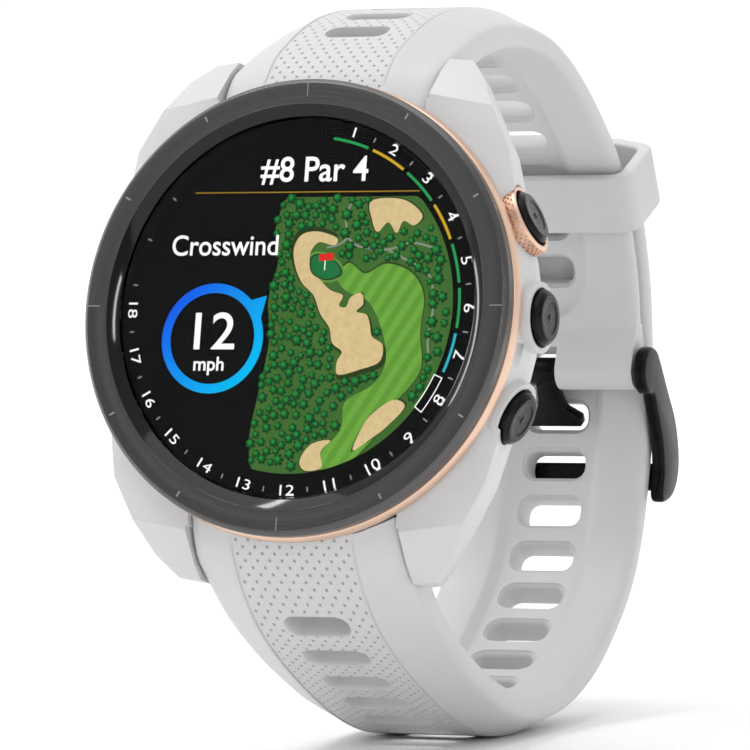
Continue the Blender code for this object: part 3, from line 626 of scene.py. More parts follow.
def rounded(profile: Sequence[Point], radius: float, closed: bool = True, steps: int = 3) -> list[Point]:
    """Rounds a profile's corners.

    Args:
        profile: The corners, in order.
        radius: How far from a corner its rounding starts.
        closed: Whether the last corner joins the first.
        steps: Points in each rounding, less one.

    Returns:
        The rounded profile.
    """
    corners = [Vector(point) for point in profile]
    count = len(corners)
    made: list[Point] = []
    for index, corner in enumerate(corners):
        if not closed and index in (0, count - 1):
            made.append(tuple(corner))
            continue
        before = corners[index - 1] - corner
        after = corners[(index + 1) % count] - corner
        reach = min(radius, before.length * 0.45, after.length * 0.45)
        start = corner + before.normalized() * reach
        stop = corner + after.normalized() * reach
        for step in range(steps + 1):
            t = step / steps
            point = start * (1 - t) ** 2 + corner * 2 * t * (1 - t) + stop * t * t
            made.append((point.x, point.y))
    return made


def spline(a: object, b: object, c: object, d: object, t: float) -> object:
    """A place on the smooth curve through four points or numbers.

    Args:
        a: The point before the first.
        b: The point that the curve starts at.
        c: The point that it ends at.
        d: The point after the last.
        t: How far along it is, from 0 to 1.

    Returns:
        The point or number there.
    """
    square, cube = 2 * a - 5 * b + 4 * c - d, 3 * b - a - 3 * c + d
    return 0.5 * (2 * b + (c - a) * t + square * t * t + cube * t ** 3)


def smooth_outline(points: Sequence[Point], steps: int = 6) -> list[Point]:
    """A smooth closed outline through a few points.

    Args:
        points: The points, in order.
        steps: Points made for each one given.

    Returns:
        The outline.
    """
    made = []
    count = len(points)
    for index in range(count):
        near = [Vector(points[(index + shift) % count]) for shift in (-1, 0, 1, 2)]
        for step in range(steps):
            point = spline(*near, step / steps)
            made.append((point.x, point.y))
    return made


def placed(bm: bmesh.types.BMesh, name: str, *surfaces: Surface) -> bpy.types.Object:
    """Puts a finished mesh in the scene.

    Args:
        bm: The mesh in the making, which is used up.
        name: The object's name.
        *surfaces: What it is made of, in order.

    Returns:
        The object.
    """
    mesh = bpy.data.meshes.new(name)
    bm.to_mesh(mesh)
    bm.free()
    for surface in surfaces:
        mesh.materials.append(surface.material())
    return linked(name, mesh)


def linked(name: str, data: bpy.types.ID) -> bpy.types.Object:
    """Puts a new object in the scene.

    Args:
        name: The object's name.
        data: Its mesh, curve, light or camera.

    Returns:
        The object.
    """
    made = bpy.data.objects.new(name, data)
    bpy.context.scene.collection.objects.link(made)
    return made


def smoothed(piece: bpy.types.Object, sharp_deg: float = 50.0) -> bpy.types.Object:
    """Shades a piece smooth between its sharp edges.

    Args:
        piece: The object.
        sharp_deg: Edges that turn more than this stay sharp.

    Returns:
        The same object.
    """
    piece.data.shade_smooth()
    piece.data.set_sharp_from_angle(angle=radians(sharp_deg))
    return piece


class Shape:
    """A mesh in the making, in the watch's millimetres, with a surface map in millimetres."""

    def __init__(self) -> None:
        """Starts an empty shape."""
        self.bm = bmesh.new()
        self.surface = self.bm.loops.layers.uv.new("surface")

    def turn(
        self, profile: Sequence[Point], closed: bool = True, steps: int = FULL_TURN_STEPS,
        place: Matrix | None = None, slots: Sequence[float] = (),
    ) -> Shape:
        """Spins a profile of radius and height about z.

        Args:
            profile: The profile's points.
            closed: Whether the profile closes on itself, off the axis.
            steps: Faces round the full turn.
            place: Where the turned shape goes.
            slots: The radius that each material reaches out to, or nothing for all in the first.

        Returns:
            This shape.
        """
        bm = self.bm
        old = set(bm.faces)
        verts = [bm.verts.new((radius, 0.0, height)) for radius, height in profile]
        edges = [bm.edges.new(pair) for pair in zip(verts, verts[1:])]
        if closed:
            edges.append(bm.edges.new((verts[-1], verts[0])))
        bmesh.ops.spin(
            bm, geom=verts + edges, cent=(0, 0, 0), axis=(0, 0, 1), dvec=(0, 0, 0),
            angle=2 * pi, steps=steps, use_merge=True, use_duplicate=False,
        )
        faces = [face for face in bm.faces if face not in old]
        for face in faces:
            middle = face.calc_center_median()
            around = atan2(middle.y, middle.x)
            reach = hypot(middle.x, middle.y)
            for loop in face.loops:
                x, y, z = loop.vert.co
                angle = atan2(y, x) if hypot(x, y) > 1e-6 else around
                angle -= 2 * pi * round((angle - around) / (2 * pi))
                loop[self.surface].uv = (angle * reach, hypot(x, y) - z)
            for limit, slot in enumerate(slots):
                if reach < slot:
                    face.material_index = limit
                    break
        touched = list({vert for face in faces for vert in face.verts})
        bmesh.ops.remove_doubles(bm, verts=touched, dist=1e-5)
        if place is not None:
            touched = list({vert for face in bm.faces if face not in old for vert in face.verts})
            bmesh.ops.transform(bm, matrix=place, verts=touched)
        return self

    def prism(self, outline: Iterable[Point], low: float, high: float, place: Matrix | None = None) -> Shape:
        """Extrudes a closed outline along z.

        Args:
            outline: The outline's points.
            low: The height it starts at.
            high: The height it ends at.
            place: Where the prism goes.

        Returns:
            This shape.
        """
        verts = [self.bm.verts.new((x, y, low)) for x, y in outline]
        face = self.bm.faces.new(verts)
        grown = bmesh.ops.extrude_face_region(self.bm, geom=[face])["geom"]
        top = [item for item in grown if isinstance(item, bmesh.types.BMVert)]
        bmesh.ops.translate(self.bm, vec=(0, 0, high - low), verts=top)
        for loop in (loop for vert in verts + top for loop in vert.link_loops):
            loop[self.surface].uv = loop.vert.co.xy
        if place is not None:
            bmesh.ops.transform(self.bm, matrix=place, verts=verts + top)
        return self

    def plain(self) -> Shape:
        """Maps every face off the strap's panel, so that it has no pits.

        Returns:
            This shape.
        """
        for face in self.bm.faces:
            for loop in face.loops:
                loop[self.surface].uv = (OFF_PANEL, 0.0)
        return self

    def finish(
        self, name: str, finishes: Sequence[Surface], axes: WatchAxes,
        sharp_deg: float = 38.0, flat: bool = False,
    ) -> bpy.types.Object:
        """Makes the shape an object in the frame.

        Args:
            name: The object's name.
            finishes: Its materials, in order.
            axes: The watch's axes.
            sharp_deg: Edges that turn more than this stay sharp.
            flat: Whether all faces stay flat.

        Returns:
            The object, at the origin, with its place in its mesh.
        """
        bmesh.ops.recalc_face_normals(self.bm, faces=self.bm.faces)
        bmesh.ops.transform(self.bm, matrix=axes.to_frame, verts=self.bm.verts)
        made = placed(self.bm, name, *finishes)
        return made if flat else smoothed(made, sharp_deg)


def ridden(
    piece: bpy.types.Object, body: Body, replaces: Sequence[str] = ()
) -> bpy.types.Object:
    """Tells the frame what a piece rides on and the nodes it stands for.

    Args:
        piece: The finished object.
        body: The body it moves with.
        replaces: Nodes of the frame that it replaces.

    Returns:
        The same piece.
    """
    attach(piece, body.value)
    if replaces:
        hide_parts(*replaces)
    log.info("%s rides on %s", piece.name, body.value)
    return piece


def applied(piece: bpy.types.Object) -> bpy.types.Object:
    """Bakes a piece's modifiers into its mesh.

    Args:
        piece: The object.

    Returns:
        The same object, with no modifiers.
    """
    graph = bpy.context.evaluated_depsgraph_get()
    mesh = bpy.data.meshes.new_from_object(piece.evaluated_get(graph))
    piece.modifiers.clear()
    piece.data = mesh
    return piece


def rims_rounded(
    piece: bpy.types.Object, width: float, segments: int, sharp_deg: float = 40.0
) -> bpy.types.Object:
    """Rounds a piece's sharp rims.

    Args:
        piece: The object.
        width: The rounding's width, in millimetres.
        segments: Faces across the rounding.
        sharp_deg: Edges that turn more than this are rounded.

    Returns:
        The same object.
    """
    bevel = piece.modifiers.new("soft_rims", "BEVEL")
    bevel.width = width * MM
    bevel.segments = segments
    bevel.limit_method = "ANGLE"
    bevel.angle_limit = radians(sharp_deg)
    return smoothed(applied(piece))


def softened(
    frame: dict, node: str, finish: Surface, body: Body,
    width: float = 0.15, segments: int = 2, sharp_deg: float = 30.0,
) -> bpy.types.Object:
    """A finer copy of one node, with its edges rounded over.

    Args:
        frame: The loaded frame.
        node: The node that it copies and replaces.
        finish: Its finish.
        body: The body it moves with.
        width: The rounding's width, in millimetres.
        segments: Faces across each rounding.
        sharp_deg: Edges that turn more than this are rounded.

    Returns:
        The new piece.
    """
    bm = bmesh.new()
    bm.from_mesh(frame["nodes"][node].data)
    bmesh.ops.remove_doubles(bm, verts=bm.verts, dist=2e-6)
    bmesh.ops.dissolve_limit(
        bm, angle_limit=radians(1.5), use_dissolve_boundaries=False, verts=bm.verts, edges=bm.edges
    )
    piece = smoothed(placed(bm, f"{node}_softened", finish), sharp_deg)
    return ridden(rims_rounded(piece, width, segments, sharp_deg), body, [node])


# ---------------------------------------------------------------- display

FAIRWAY_POINTS = (
    (4.7, 4.2), (6.4, 3.2), (8.4, 4.1), (10.9, 3.3), (12.3, 1.2), (12.2, -2.2), (12.5, -5.6), (10.6, -8.2),
    (9.2, -9.2), (8.6, -11.5), (6.2, -14.0), (3.6, -15.2), (3.1, -13.4), (5.0, -11.2), (5.3, -8.6),
    (7.9, -7.0), (9.0, -5.0), (8.5, -2.2), (6.9, 0.6), (4.6, 1.6), (3.7, 2.8),
)
BUNKER_POINTS = (
    (
        (-0.9, 5.5), (-0.2, 6.8), (1.4, 7.1), (3.3, 6.5), (3.1, 5.8), (1.6, 6.1), (0.8, 5.2), (0.9, 3.9),
        (1.9, 2.7), (3.0, 1.7), (4.3, 1.2), (4.0, 0.3), (4.7, 0.1), (5.1, 1.0), (6.1, 1.4), (6.4, 0.4),
        (5.8, -0.3), (6.8, -0.6), (7.2, -1.5), (7.5, -2.6), (8.6, -3.4), (8.4, -4.9), (6.6, -5.6),
        (4.4, -6.1), (4.2, -4.9), (4.6, -4.0), (3.6, -3.2), (3.2, -1.8), (2.2, -0.5), (1.4, 1.2),
        (0.2, 2.3), (-0.6, 3.8),
    ),
    (
        (6.5, 9.9), (9.6, 10.0), (11.6, 8.6), (10.9, 7.6), (9.8, 8.0), (9.2, 6.9), (8.3, 7.9),
        (7.3, 7.0), (6.7, 8.1),
    ),
    ((8.0, -9.7), (10.0, -8.4), (11.2, -9.0), (9.6, -10.8), (8.0, -12.0), (6.4, -13.0), (7.0, -11.2)),
    ((1.2, -14.0), (2.2, -12.5), (4.1, -12.1), (3.2, -13.2), (3.4, -14.6), (1.8, -14.9)),
)
CART_PATH_RUNS = (
    ((4.6, 9.9), (4.1, 8.4), (4.3, 6.6), (3.6, 5.9), (2.4, 5.6)),
    ((4.3, 6.6), (5.6, 5.7), (8.4, 5.4), (10.8, 6.0), (13.0, 5.5)),
    ((8.4, 5.4), (10.4, 4.4), (12.6, 3.2), (13.3, 0.4), (13.0, -3.0), (13.4, -5.0)),
)


@dataclass
class Display:
    """The lit display: hole title, wind gauge, hole map and the ring of hole numbers."""

    axes: WatchAxes
    panel_radius: float = 16.7
    panel_top: float = -1.62
    layer: float = 0.009
    ring_radius: float = 16.75
    arc_radius: float = 15.74
    arc_width: float = 0.26
    arc_reach_deg: float = 6.6
    number_pitch_deg: float = 15.0
    map_radius: float = 15.2
    map_top: float = 10.3
    stripe_lean_deg: float = -32.0
    stripe_pitch: float = 0.62
    path_half_width: float = 0.10
    tree_count: int = 205

    def build(self) -> None:
        """Makes every piece of the display."""
        panel = Shape().turn(
            rounded(
                (
                    (0.0, self.panel_top - 1.1),
                    (self.panel_radius, self.panel_top - 1.1),
                    (self.panel_radius, self.panel_top),
                    (0.0, self.panel_top),
                ),
                0.05,
                closed=False,
            ),
            closed=False,
        )
        piece = panel.finish("display_glass", [SCREEN_BLACK], self.axes)
        ridden(piece, Body.WATCH, ["display_panel"])
        top = self.panel_top
        border = Shape().turn(((16.64, -1.76), (17.58, -1.76), (17.58, top), (16.64, top)))
        ridden(border.finish("display_border", [SCREEN_BLACK], self.axes), Body.WATCH)
        self.hole_map()
        self.title()
        self.wind_gauge()
        self.number_ring()

    def level_at(self, level: int) -> float:
        """The height of one level of the display.

        Args:
            level: The level, counted up from the panel.

        Returns:
            The height of its lower face.
        """
        return self.panel_top + 0.004 + level * self.layer

    def sheet(
        self, name: str, outlines: Iterable[Sequence[Point]], finish: Finish, level: int
    ) -> bpy.types.Object:
        """Lays thin lit shapes on one level of the display.

        Args:
            name: The piece's name.
            outlines: The shapes' outlines.
            finish: Their finish.
            level: The level, counted up from the panel.

        Returns:
            The piece.
        """
        shape = Shape()
        low = self.level_at(level)
        for outline in outlines:
            shape.prism(outline, low, low + SHEET_THICKNESS)
        return self.lay(shape, name, finish)

    def lay(self, shape: Shape, name: str, finish: Finish) -> bpy.types.Object:
        """Makes a flat shape a piece of the display.

        Args:
            shape: The shape.
            name: The piece's name.
            finish: Its finish.

        Returns:
            The piece.
        """
        return ridden(shape.finish(name, [finish], self.axes, flat=True), Body.WATCH)

    def words(
        self, name: str, text: str, centre: Point, height: float, finish: Finish,
        turn_deg: float = 0.0, narrow: float = 1.0, bold: float = 0.0, level: int = 9,
    ) -> bpy.types.Object:
        """Sets plain letters or numbers on the display.

        Args:
            name: The piece's name.
            text: What it says.
            centre: The middle of the text.
            height: The height of a capital.
            finish: Its finish.
            turn_deg: Its turn, anticlockwise.
            narrow: Its width, as a share of the font's own.
            bold: How far each stroke is thickened, as a share of the height.
            level: The level of the display it lies on.

        Returns:
            The piece.
        """
        curve = bpy.data.curves.new(name, "FONT")
        curve.body = text
        curve.size = height / CAPITAL_SHARE
        curve.offset = bold * height
        curve.align_x = "CENTER"
        curve.align_y = "CENTER"
        curve.extrude = 0.003
        curve.resolution_u = 6
        holder = linked(f"{name}_letters", curve)
        bpy.context.view_layer.update()
        graph = bpy.context.evaluated_depsgraph_get()
        mesh = bpy.data.meshes.new_from_object(holder.evaluated_get(graph))
        bpy.data.objects.remove(holder)
        place = (
            Matrix.Translation((centre[0], centre[1], self.level_at(level)))
            @ Matrix.Rotation(radians(turn_deg), 4, "Z")
            @ Matrix.Diagonal((narrow, 1.0, 1.0, 1.0))
        )
        bm = bmesh.new()
        bm.from_mesh(mesh)
        bmesh.ops.remove_doubles(bm, verts=bm.verts, dist=1e-5)
        bmesh.ops.recalc_face_normals(bm, faces=bm.faces)
        bmesh.ops.transform(bm, matrix=self.axes.to_frame @ place, verts=bm.verts)
        return ridden(placed(bm, name, finish), Body.WATCH)

    def arc(
        self, inner: float, outer: float, start_deg: float, stop_deg: float, steps: int = 12
    ) -> list[Point]:
        """Part of a ring, with angles clockwise from 12 o'clock.

        Args:
            inner: The inner radius.
            outer: The outer radius.
            start_deg: The angle it starts at.
            stop_deg: The angle it ends at.
            steps: How many straight stretches each side has.

        Returns:
            The outline.
        """
        sweep = stop_deg - start_deg
        angles = [radians(90 - start_deg - sweep * step / steps) for step in range(steps + 1)]
        outline = [(outer * cos(angle), outer * sin(angle)) for angle in angles]
        return outline + [(inner * cos(angle), inner * sin(angle)) for angle in reversed(angles)]

    def title(self) -> None:
        """The hole's number and par, with a fine line under it."""
        self.words("hole_title", "#8 Par 4", (0.65, 12.75), 2.25, LIT_WHITE, narrow=0.95, bold=0.018)
        line = ((-11.2, 10.72), (11.2, 10.72), (11.2, 10.80), (-11.2, 10.80))
        self.sheet("title_line", [line], LIT_GOLD, 8)

    def wind_gauge(self) -> None:
        """The wind's direction ring and its speed."""
        self.words("wind_word", "Crosswind", (-7.8, 5.75), 1.85, LIT_WHITE, narrow=0.93, bold=0.014)
        place = Matrix.Translation((-8.43, -2.78, 0.0))
        shape = Shape()
        low = self.level_at(8)
        for start, stop in ((0, 180), (180, 360)):
            shape.prism(self.arc(4.22, 5.1, start, stop, 40), low, low + SHEET_THICKNESS, place)
        low += self.layer
        pointer = ((2.9, 3.35), (5.2, 3.95), (4.72, 1.75), (4.0, 2.4))
        shape.prism(pointer, low, low + SHEET_THICKNESS, place)
        self.lay(shape, "wind_ring", LIT_BLUE)
        self.words("wind_speed", "12", (-8.65, -2.3), 3.35, LIT_WHITE, narrow=1.08, bold=0.012)
        self.words("wind_unit", "mph", (-8.6, -5.2), 1.25, LIT_WHITE, narrow=1.0, bold=0.025)

    def number_ring(self) -> None:
        """Hole numbers round the rim, ticks between them and the arcs of the holes played."""
        ring, pitch = self.ring_radius, self.number_pitch_deg
        for hole in range(1, 19):
            angle = pitch * hole
            centre = (ring * sin(radians(angle)), ring * cos(radians(angle)))
            turn = -angle if hole <= 6 else 180 - angle
            self.words(f"hole_{hole}", str(hole), centre, 0.92, LIT_WHITE, turn, 1.4)
        half = 0.22
        middles = [pitch * hole + pitch / 2 for hole in range(1, 21)]
        ticks = [self.arc(ring - half, ring + half, middle - half, middle + half, 1) for middle in middles]
        self.sheet("hole_ticks", ticks, LIT_GREY, 9)
        played = (LIT_GREEN, LIT_YELLOW, LIT_GREEN, LIT_YELLOW, LIT_GREEN, LIT_GREEN, LIT_CYAN)
        low, reach = self.arc_radius, self.arc_reach_deg
        for hole, finish in enumerate(played, 1):
            middle = pitch * hole
            outline = self.arc(low, low + self.arc_width, middle - reach, middle + reach)
            self.sheet(f"played_{hole}", [outline], finish, 9)
        low, high, wide, edge = self.arc_radius - 0.62, self.arc_radius + 0.3, 0.09, 0.35
        start, stop = 8 * pitch - reach, 8 * pitch + reach
        frame = [
            self.arc(low, low + wide, start, stop),
            self.arc(high - wide, high, start, stop),
            self.arc(low, high, start, start + edge, 1),
            self.arc(low, high, stop - edge, stop, 1),
        ]
        self.sheet("hole_in_play", frame, LIT_WHITE, 9)

    def held_in(self, outline: Sequence[Point]) -> list[Point]:
        """Pulls an outline's points back inside the map's round edge.

        Args:
            outline: The outline.

        Returns:
            The outline, all of it inside.
        """
        made = []
        for x, y in outline:
            reach = hypot(x, y)
            share = min(1.0, self.map_radius / reach) if reach else 1.0
            made.append((x * share, y * share))
        return made

    def hole_map(self) -> None:
        """The hole seen from above: rough, fairway, bunkers, green, flag, path and trees."""
        top = self.map_top
        left = smooth_outline(
            (
                (-1.4, top), (-2.9, 7.4), (-2.4, 4.4), (-3.1, 0.8),
                (-2.7, -2.9), (-3.5, -8.2), (-4.0, -12.0), (-3.2, -14.2),
            ),
            5,
        )[:36]
        right = [
            (self.map_radius * cos(radians(angle)), self.map_radius * sin(radians(angle)))
            for angle in range(-103, 42, 3)
        ]
        rough = self.held_in([(x, min(y, top)) for x, y in left] + right + [(10.9, top)])
        fairway = self.held_in(smooth_outline(FAIRWAY_POINTS))
        main, *others = (smooth_outline(points) for points in BUNKER_POINTS)
        bunkers = [main, *(self.held_in(bunker) for bunker in others)]
        green = smooth_outline(((1.0, 4.6), (2.0, 4.9), (3.4, 4.2), (3.9, 3.2), (2.6, 2.7), (1.2, 3.3)))
        apron = [(2.3 + (x - 2.3) * 1.3, 3.8 + (y - 3.8) * 1.3) for x, y in green]
        self.sheet("map_rough", [rough], ROUGH_GRASS, 0)
        self.sheet("fairway_edge", [self.grown(fairway, 1.02)], OUTLINE_DARK, 1)
        self.sheet("bunker_edge", [self.grown(bunker, 1.07) for bunker in bunkers], OUTLINE_DARK, 2)
        self.sheet("fairway", [fairway], FAIRWAY_DARK, 2)
        self.stripes(fairway)
        self.sheet("bunkers", bunkers, SAND, 4)
        self.sheet("green_apron", [apron], APRON_GREEN, 4)
        self.sheet("green_edge", [self.grown(green, 1.12)], OUTLINE_DARK, 5)
        self.sheet("green", [green], PUTTING_GREEN, 6)
        paths = self.path_line()
        self.flag()
        self.trees(rough, [fairway, apron, *bunkers, *paths])

    def grown(self, outline: Sequence[Point], share: float) -> list[Point]:
        """An outline grown about its middle, still inside the map.

        Args:
            outline: The outline.
            share: How large it becomes, as a share of its size.

        Returns:
            The grown outline.
        """
        middle_x = sum(x for x, _ in outline) / len(outline)
        middle_y = sum(y for _, y in outline) / len(outline)
        return self.held_in(
            [(middle_x + (x - middle_x) * share, middle_y + (y - middle_y) * share) for x, y in outline]
        )

    def stripes(self, fairway: Sequence[Point]) -> None:
        """Lighter mown stripes across the fairway, cut to its outline.

        Args:
            fairway: The fairway's outline.
        """
        low = self.level_at(3)
        shape = Shape().prism(fairway, low, low + SHEET_THICKNESS)
        bm = shape.bm
        angle = radians(self.stripe_lean_deg)
        lean = Vector((cos(angle), sin(angle), 0.0))
        pitch = self.stripe_pitch
        for index in range(-40, 40):
            bmesh.ops.bisect_plane(
                bm, geom=bm.verts[:] + bm.edges[:] + bm.faces[:], plane_co=lean * pitch * index, plane_no=lean
            )
        spare = [face for face in bm.faces if int(face.calc_center_median().dot(lean) // pitch) % 2]
        bmesh.ops.delete(bm, geom=spare, context="FACES")
        bmesh.ops.holes_fill(bm, edges=[edge for edge in bm.edges if edge.is_boundary], sides=4)
        self.lay(shape, "fairway_stripes", FAIRWAY_LIGHT)

    def path_line(self) -> list[list[Point]]:
        """The cart path, as thin winding strips.

        Returns:
            The strips' outlines.
        """
        steps = 6
        strips = []
        for run in CART_PATH_RUNS:
            dense = []
            for near in zip((run[0], *run), run, run[1:], (*run[2:], run[-1])):
                dense += [spline(*map(Vector, near), step / steps) for step in range(steps)]
            dense.append(Vector(run[-1]))
            sides = ([], [])
            for index, point in enumerate(dense):
                ahead = dense[min(index + 1, len(dense) - 1)] - dense[max(index - 1, 0)]
                across = Vector((-ahead.y, ahead.x)).normalized() * self.path_half_width
                sides[0].append(tuple(point + across))
                sides[1].append(tuple(point - across))
            strips.append(self.held_in(sides[0] + sides[1][::-1]))
        for number, strip in enumerate(strips, 1):
            self.sheet(f"cart_path_{number}", [strip], PATH_GREY, 4 + number % 2)
        return strips

    def flag(self) -> None:
        """The flag on the green."""
        self.sheet("flag_pole", [((2.28, 3.5), (2.38, 3.5), (2.38, 4.9), (2.28, 4.9))], LIT_WHITE, 8)
        self.sheet("flag_cloth", [((1.7, 4.35), (3.2, 4.45), (3.15, 5.1), (1.75, 5.0))], LIT_RED, 9)

    def trees(self, rough: Sequence[Point], clear: Sequence[Sequence[Point]]) -> None:
        """Scatters trees over the rough, each a dark crown with a lighter side.

        Args:
            rough: The ground's outline.
            clear: Outlines that stay free of trees.
        """
        draw = random.Random(7)
        spots: list[tuple[float, float, float]] = []
        for _ in range(60000):
            if len(spots) == self.tree_count:
                break
            x, y, size = draw.uniform(-4.4, 14.8), draw.uniform(-14.9, 10.2), draw.uniform(0.42, 0.68)
            if hypot(x, y) > self.map_radius - 0.55 or not inside((x, y), rough):
                continue
            if x > 3.6 and draw.random() < 0.6:
                continue
            if any(hypot(x - near_x, y - near_y) < 0.74 * (size + near) for near_x, near_y, near in spots):
                continue
            around = [(x + size * cos(step), y + size * sin(step)) for step in range(6)]
            if any(inside(point, outline) for point in around for outline in clear):
                continue
            spots.append((x, y, size))
        shades, crowns, lights = [], [], []
        for x, y, size in spots:
            start = draw.uniform(0, 6.28)
            shades.append(self.crown((x, y), size, start))
            crowns.append(self.crown((x - size * 0.08, y + size * 0.1), size * 0.74, start + 0.3))
            lights.append(self.crown((x - size * 0.16, y + size * 0.2), size * 0.46, start + 0.6))
        self.sheet("tree_shades", shades, TREE_SHADE, 6)
        self.sheet("tree_crowns", crowns, TREE_DARK, 7)
        self.sheet("tree_lights", lights, TREE_LIGHT, 8)

    def crown(self, spot: Point, size: float, start: float) -> list[Point]:
        """The lobed outline of one tree from above.

        Args:
            spot: The tree's middle.
            size: Its radius.
            start: The angle of its first lobe, in radians.

        Returns:
            The outline.
        """
        made = []
        for index in range(12):
            reach = size * (0.66 if index % 2 else 1.0)
            angle = start + index * pi / 6
            made.append((spot[0] + reach * cos(angle), spot[1] + reach * sin(angle)))
        return made


def inside(spot: Point, outline: Sequence[Point]) -> bool:
    """Tests a spot against a closed outline.

    Args:
        spot: The spot.
        outline: The outline.

    Returns:
        Whether the spot lies inside.
    """
    found = False
    for (x0, y0), (x1, y1) in zip(outline, [*outline[1:], outline[0]]):
        if (y0 > spot[1]) != (y1 > spot[1]) and spot[0] < (x1 - x0) * (spot[1] - y0) / (y1 - y0) + x0:
            found = not found
    return found


# ---------------------------------------------------------------- head


@dataclass
class Front:
    """Bezel with its hour marks, the thin gold ring under it and the lens."""

    axes: WatchAxes
    bezel_radius: float = 21.1
    lip_radius: float = 18.75
    inner_radius: float = 17.65
    tick_radius: float = 20.05

    def build(self) -> None:
        """Makes the front's pieces."""
        bezel = Shape().turn(
            rounded(
                (
                    (self.inner_radius, -1.65),
                    (self.bezel_radius - 0.05, -1.65),
                    (self.bezel_radius, -0.45),
                    (self.bezel_radius - 0.42, -0.01),
                    (self.lip_radius, -0.01),
                    (self.inner_radius, -0.63),
                ),
                0.09,
            ),
            steps=192,
            slots=(self.lip_radius, self.bezel_radius + 1.0),
        )
        piece = bezel.finish("bezel_ring", [BEZEL_POLISHED, BEZEL_BRUSHED], self.axes)
        ridden(piece, Body.WATCH, ["bezel"])
        trim = Shape().turn(
            rounded(((17.65, -2.85), (21.35, -2.85), (21.3, -2.3), (21.12, -1.75), (17.65, -1.75)), 0.12),
            steps=192,
        )
        ridden(trim.finish("gold_ring", [ROSE_GOLD], self.axes), Body.WATCH, ["trim_ring"])
        lens = Shape().turn(
            rounded(
                ((0.0, -1.51), (17.5, -1.51), (17.5, -0.8), (17.3, -0.66), (0.0, -0.66)), 0.06, closed=False
            ),
            closed=False,
        )
        ridden(lens.finish("lens_glass_disc", [LENS_GLASS], self.axes), Body.WATCH, ["lens"])
        self.hour_marks()

    def hour_marks(self) -> None:
        """Twelve marks let into the bezel, long and thin at the quarters."""
        marks = Shape()
        for hour in range(12):
            long = hour % 3 == 0
            length, width = (1.25, 0.09) if long else (0.55, 0.17)
            spin = Matrix.Rotation(radians(-30 * hour), 4, "Z")
            place = spin @ Matrix.Translation((0, self.tick_radius, 0))
            half, side = length / 2, width / 2
            outline = ((-side, -half), (side, -half), (side, half), (-side, half))
            marks.prism(outline, -0.08, -0.002, place)
        piece = marks.finish("hour_marks", [TICK_GREY], self.axes, flat=True)
        ridden(piece, Body.WATCH)


@dataclass
class Buttons:
    """Caps, the knurled guard of the upper one and what shows of the rest."""

    axes: WatchAxes
    face: float = 22.8
    guard_foot: float = 20.6
    guard_wall: float = 3.15
    guard_row: float = 0.27
    guard_columns: int = 60

    def build(self) -> None:
        """Makes the buttons' pieces."""
        bodies = {"upper": Body.UPPER_BUTTON, "middle": Body.MIDDLE_BUTTON, "lower": Body.LOWER_BUTTON}
        rim, dish = self.face - 0.06, self.face - 0.14
        profile = rounded(
            (
                (0.0, 17.1), (0.75, 17.1), (0.75, 21.3), (2.5, 21.3), (2.5, self.face - 0.42), (2.12, rim),
                (1.55, rim), (1.42, dish), (0.34, dish), (0.24, rim), (0.0, rim),
            ),
            0.06,
            closed=False,
        )
        for name, body in bodies.items():
            cap = Shape().turn(profile, closed=False, steps=96, place=self.axes.button(name))
            piece = cap.finish(f"{name}_cap", [GUN_METAL], self.axes)
            ridden(piece, body, [f"{name}_button"])
        self.guard()

    def guard(self) -> None:
        """The gold ring round the upper button, with rows of small dimples round it."""
        foot, wall_radius, columns = self.guard_foot, self.guard_wall, self.guard_columns
        profile = ((2.75, foot), (3.2, foot), (3.2, 22.0), (3.05, 22.2), (2.85, 22.2), (2.75, 22.1))
        shape = Shape().turn(rounded(profile, 0.03), steps=columns)
        bm = shape.bm
        wall = [
            face for face in bm.faces
            if hypot(*face.calc_center_median().xy) > wall_radius and face.calc_area() > 0.1
        ]
        sides = [edge for face in wall for edge in face.edges]
        risers = {edge for edge in sides if abs(edge.verts[0].co.z - edge.verts[1].co.z) > 0.5}
        bmesh.ops.subdivide_edges(bm, edges=list(risers), cuts=4, use_grid_fill=True)
        chosen = []
        for face in bm.faces:
            middle = face.calc_center_median()
            on_wall = hypot(middle.x, middle.y) > wall_radius and 20.7 < middle.z < 21.95
            if on_wall and face.calc_area() > 0.03:
                column = int((atan2(middle.y, middle.x) % (2 * pi)) / (2 * pi) * columns)
                row = int((middle.z - foot) / self.guard_row)
                if (column + row) % 2:
                    chosen.append(face)
        bmesh.ops.inset_individual(bm, faces=chosen, thickness=0.05, depth=0.0)
        bmesh.ops.inset_individual(bm, faces=chosen, thickness=0.02, depth=-0.16)
        bmesh.ops.transform(bm, matrix=self.axes.button("upper"), verts=bm.verts)
        piece = shape.finish("knurled_guard", [ROSE_GOLD], self.axes)
        ridden(piece, Body.WATCH, ["upper_button_guard"])


# ---------------------------------------------------------------- strap


@dataclass(frozen=True)
class Station:
    """One place along a strap: its inner face, its outer edge, and how far along it is."""

    inner: Vector
    edge: Vector
    along: float

    @property
    def thickness(self) -> float:
        """How thick the strap's edge is here."""
        return (self.edge - self.inner).length


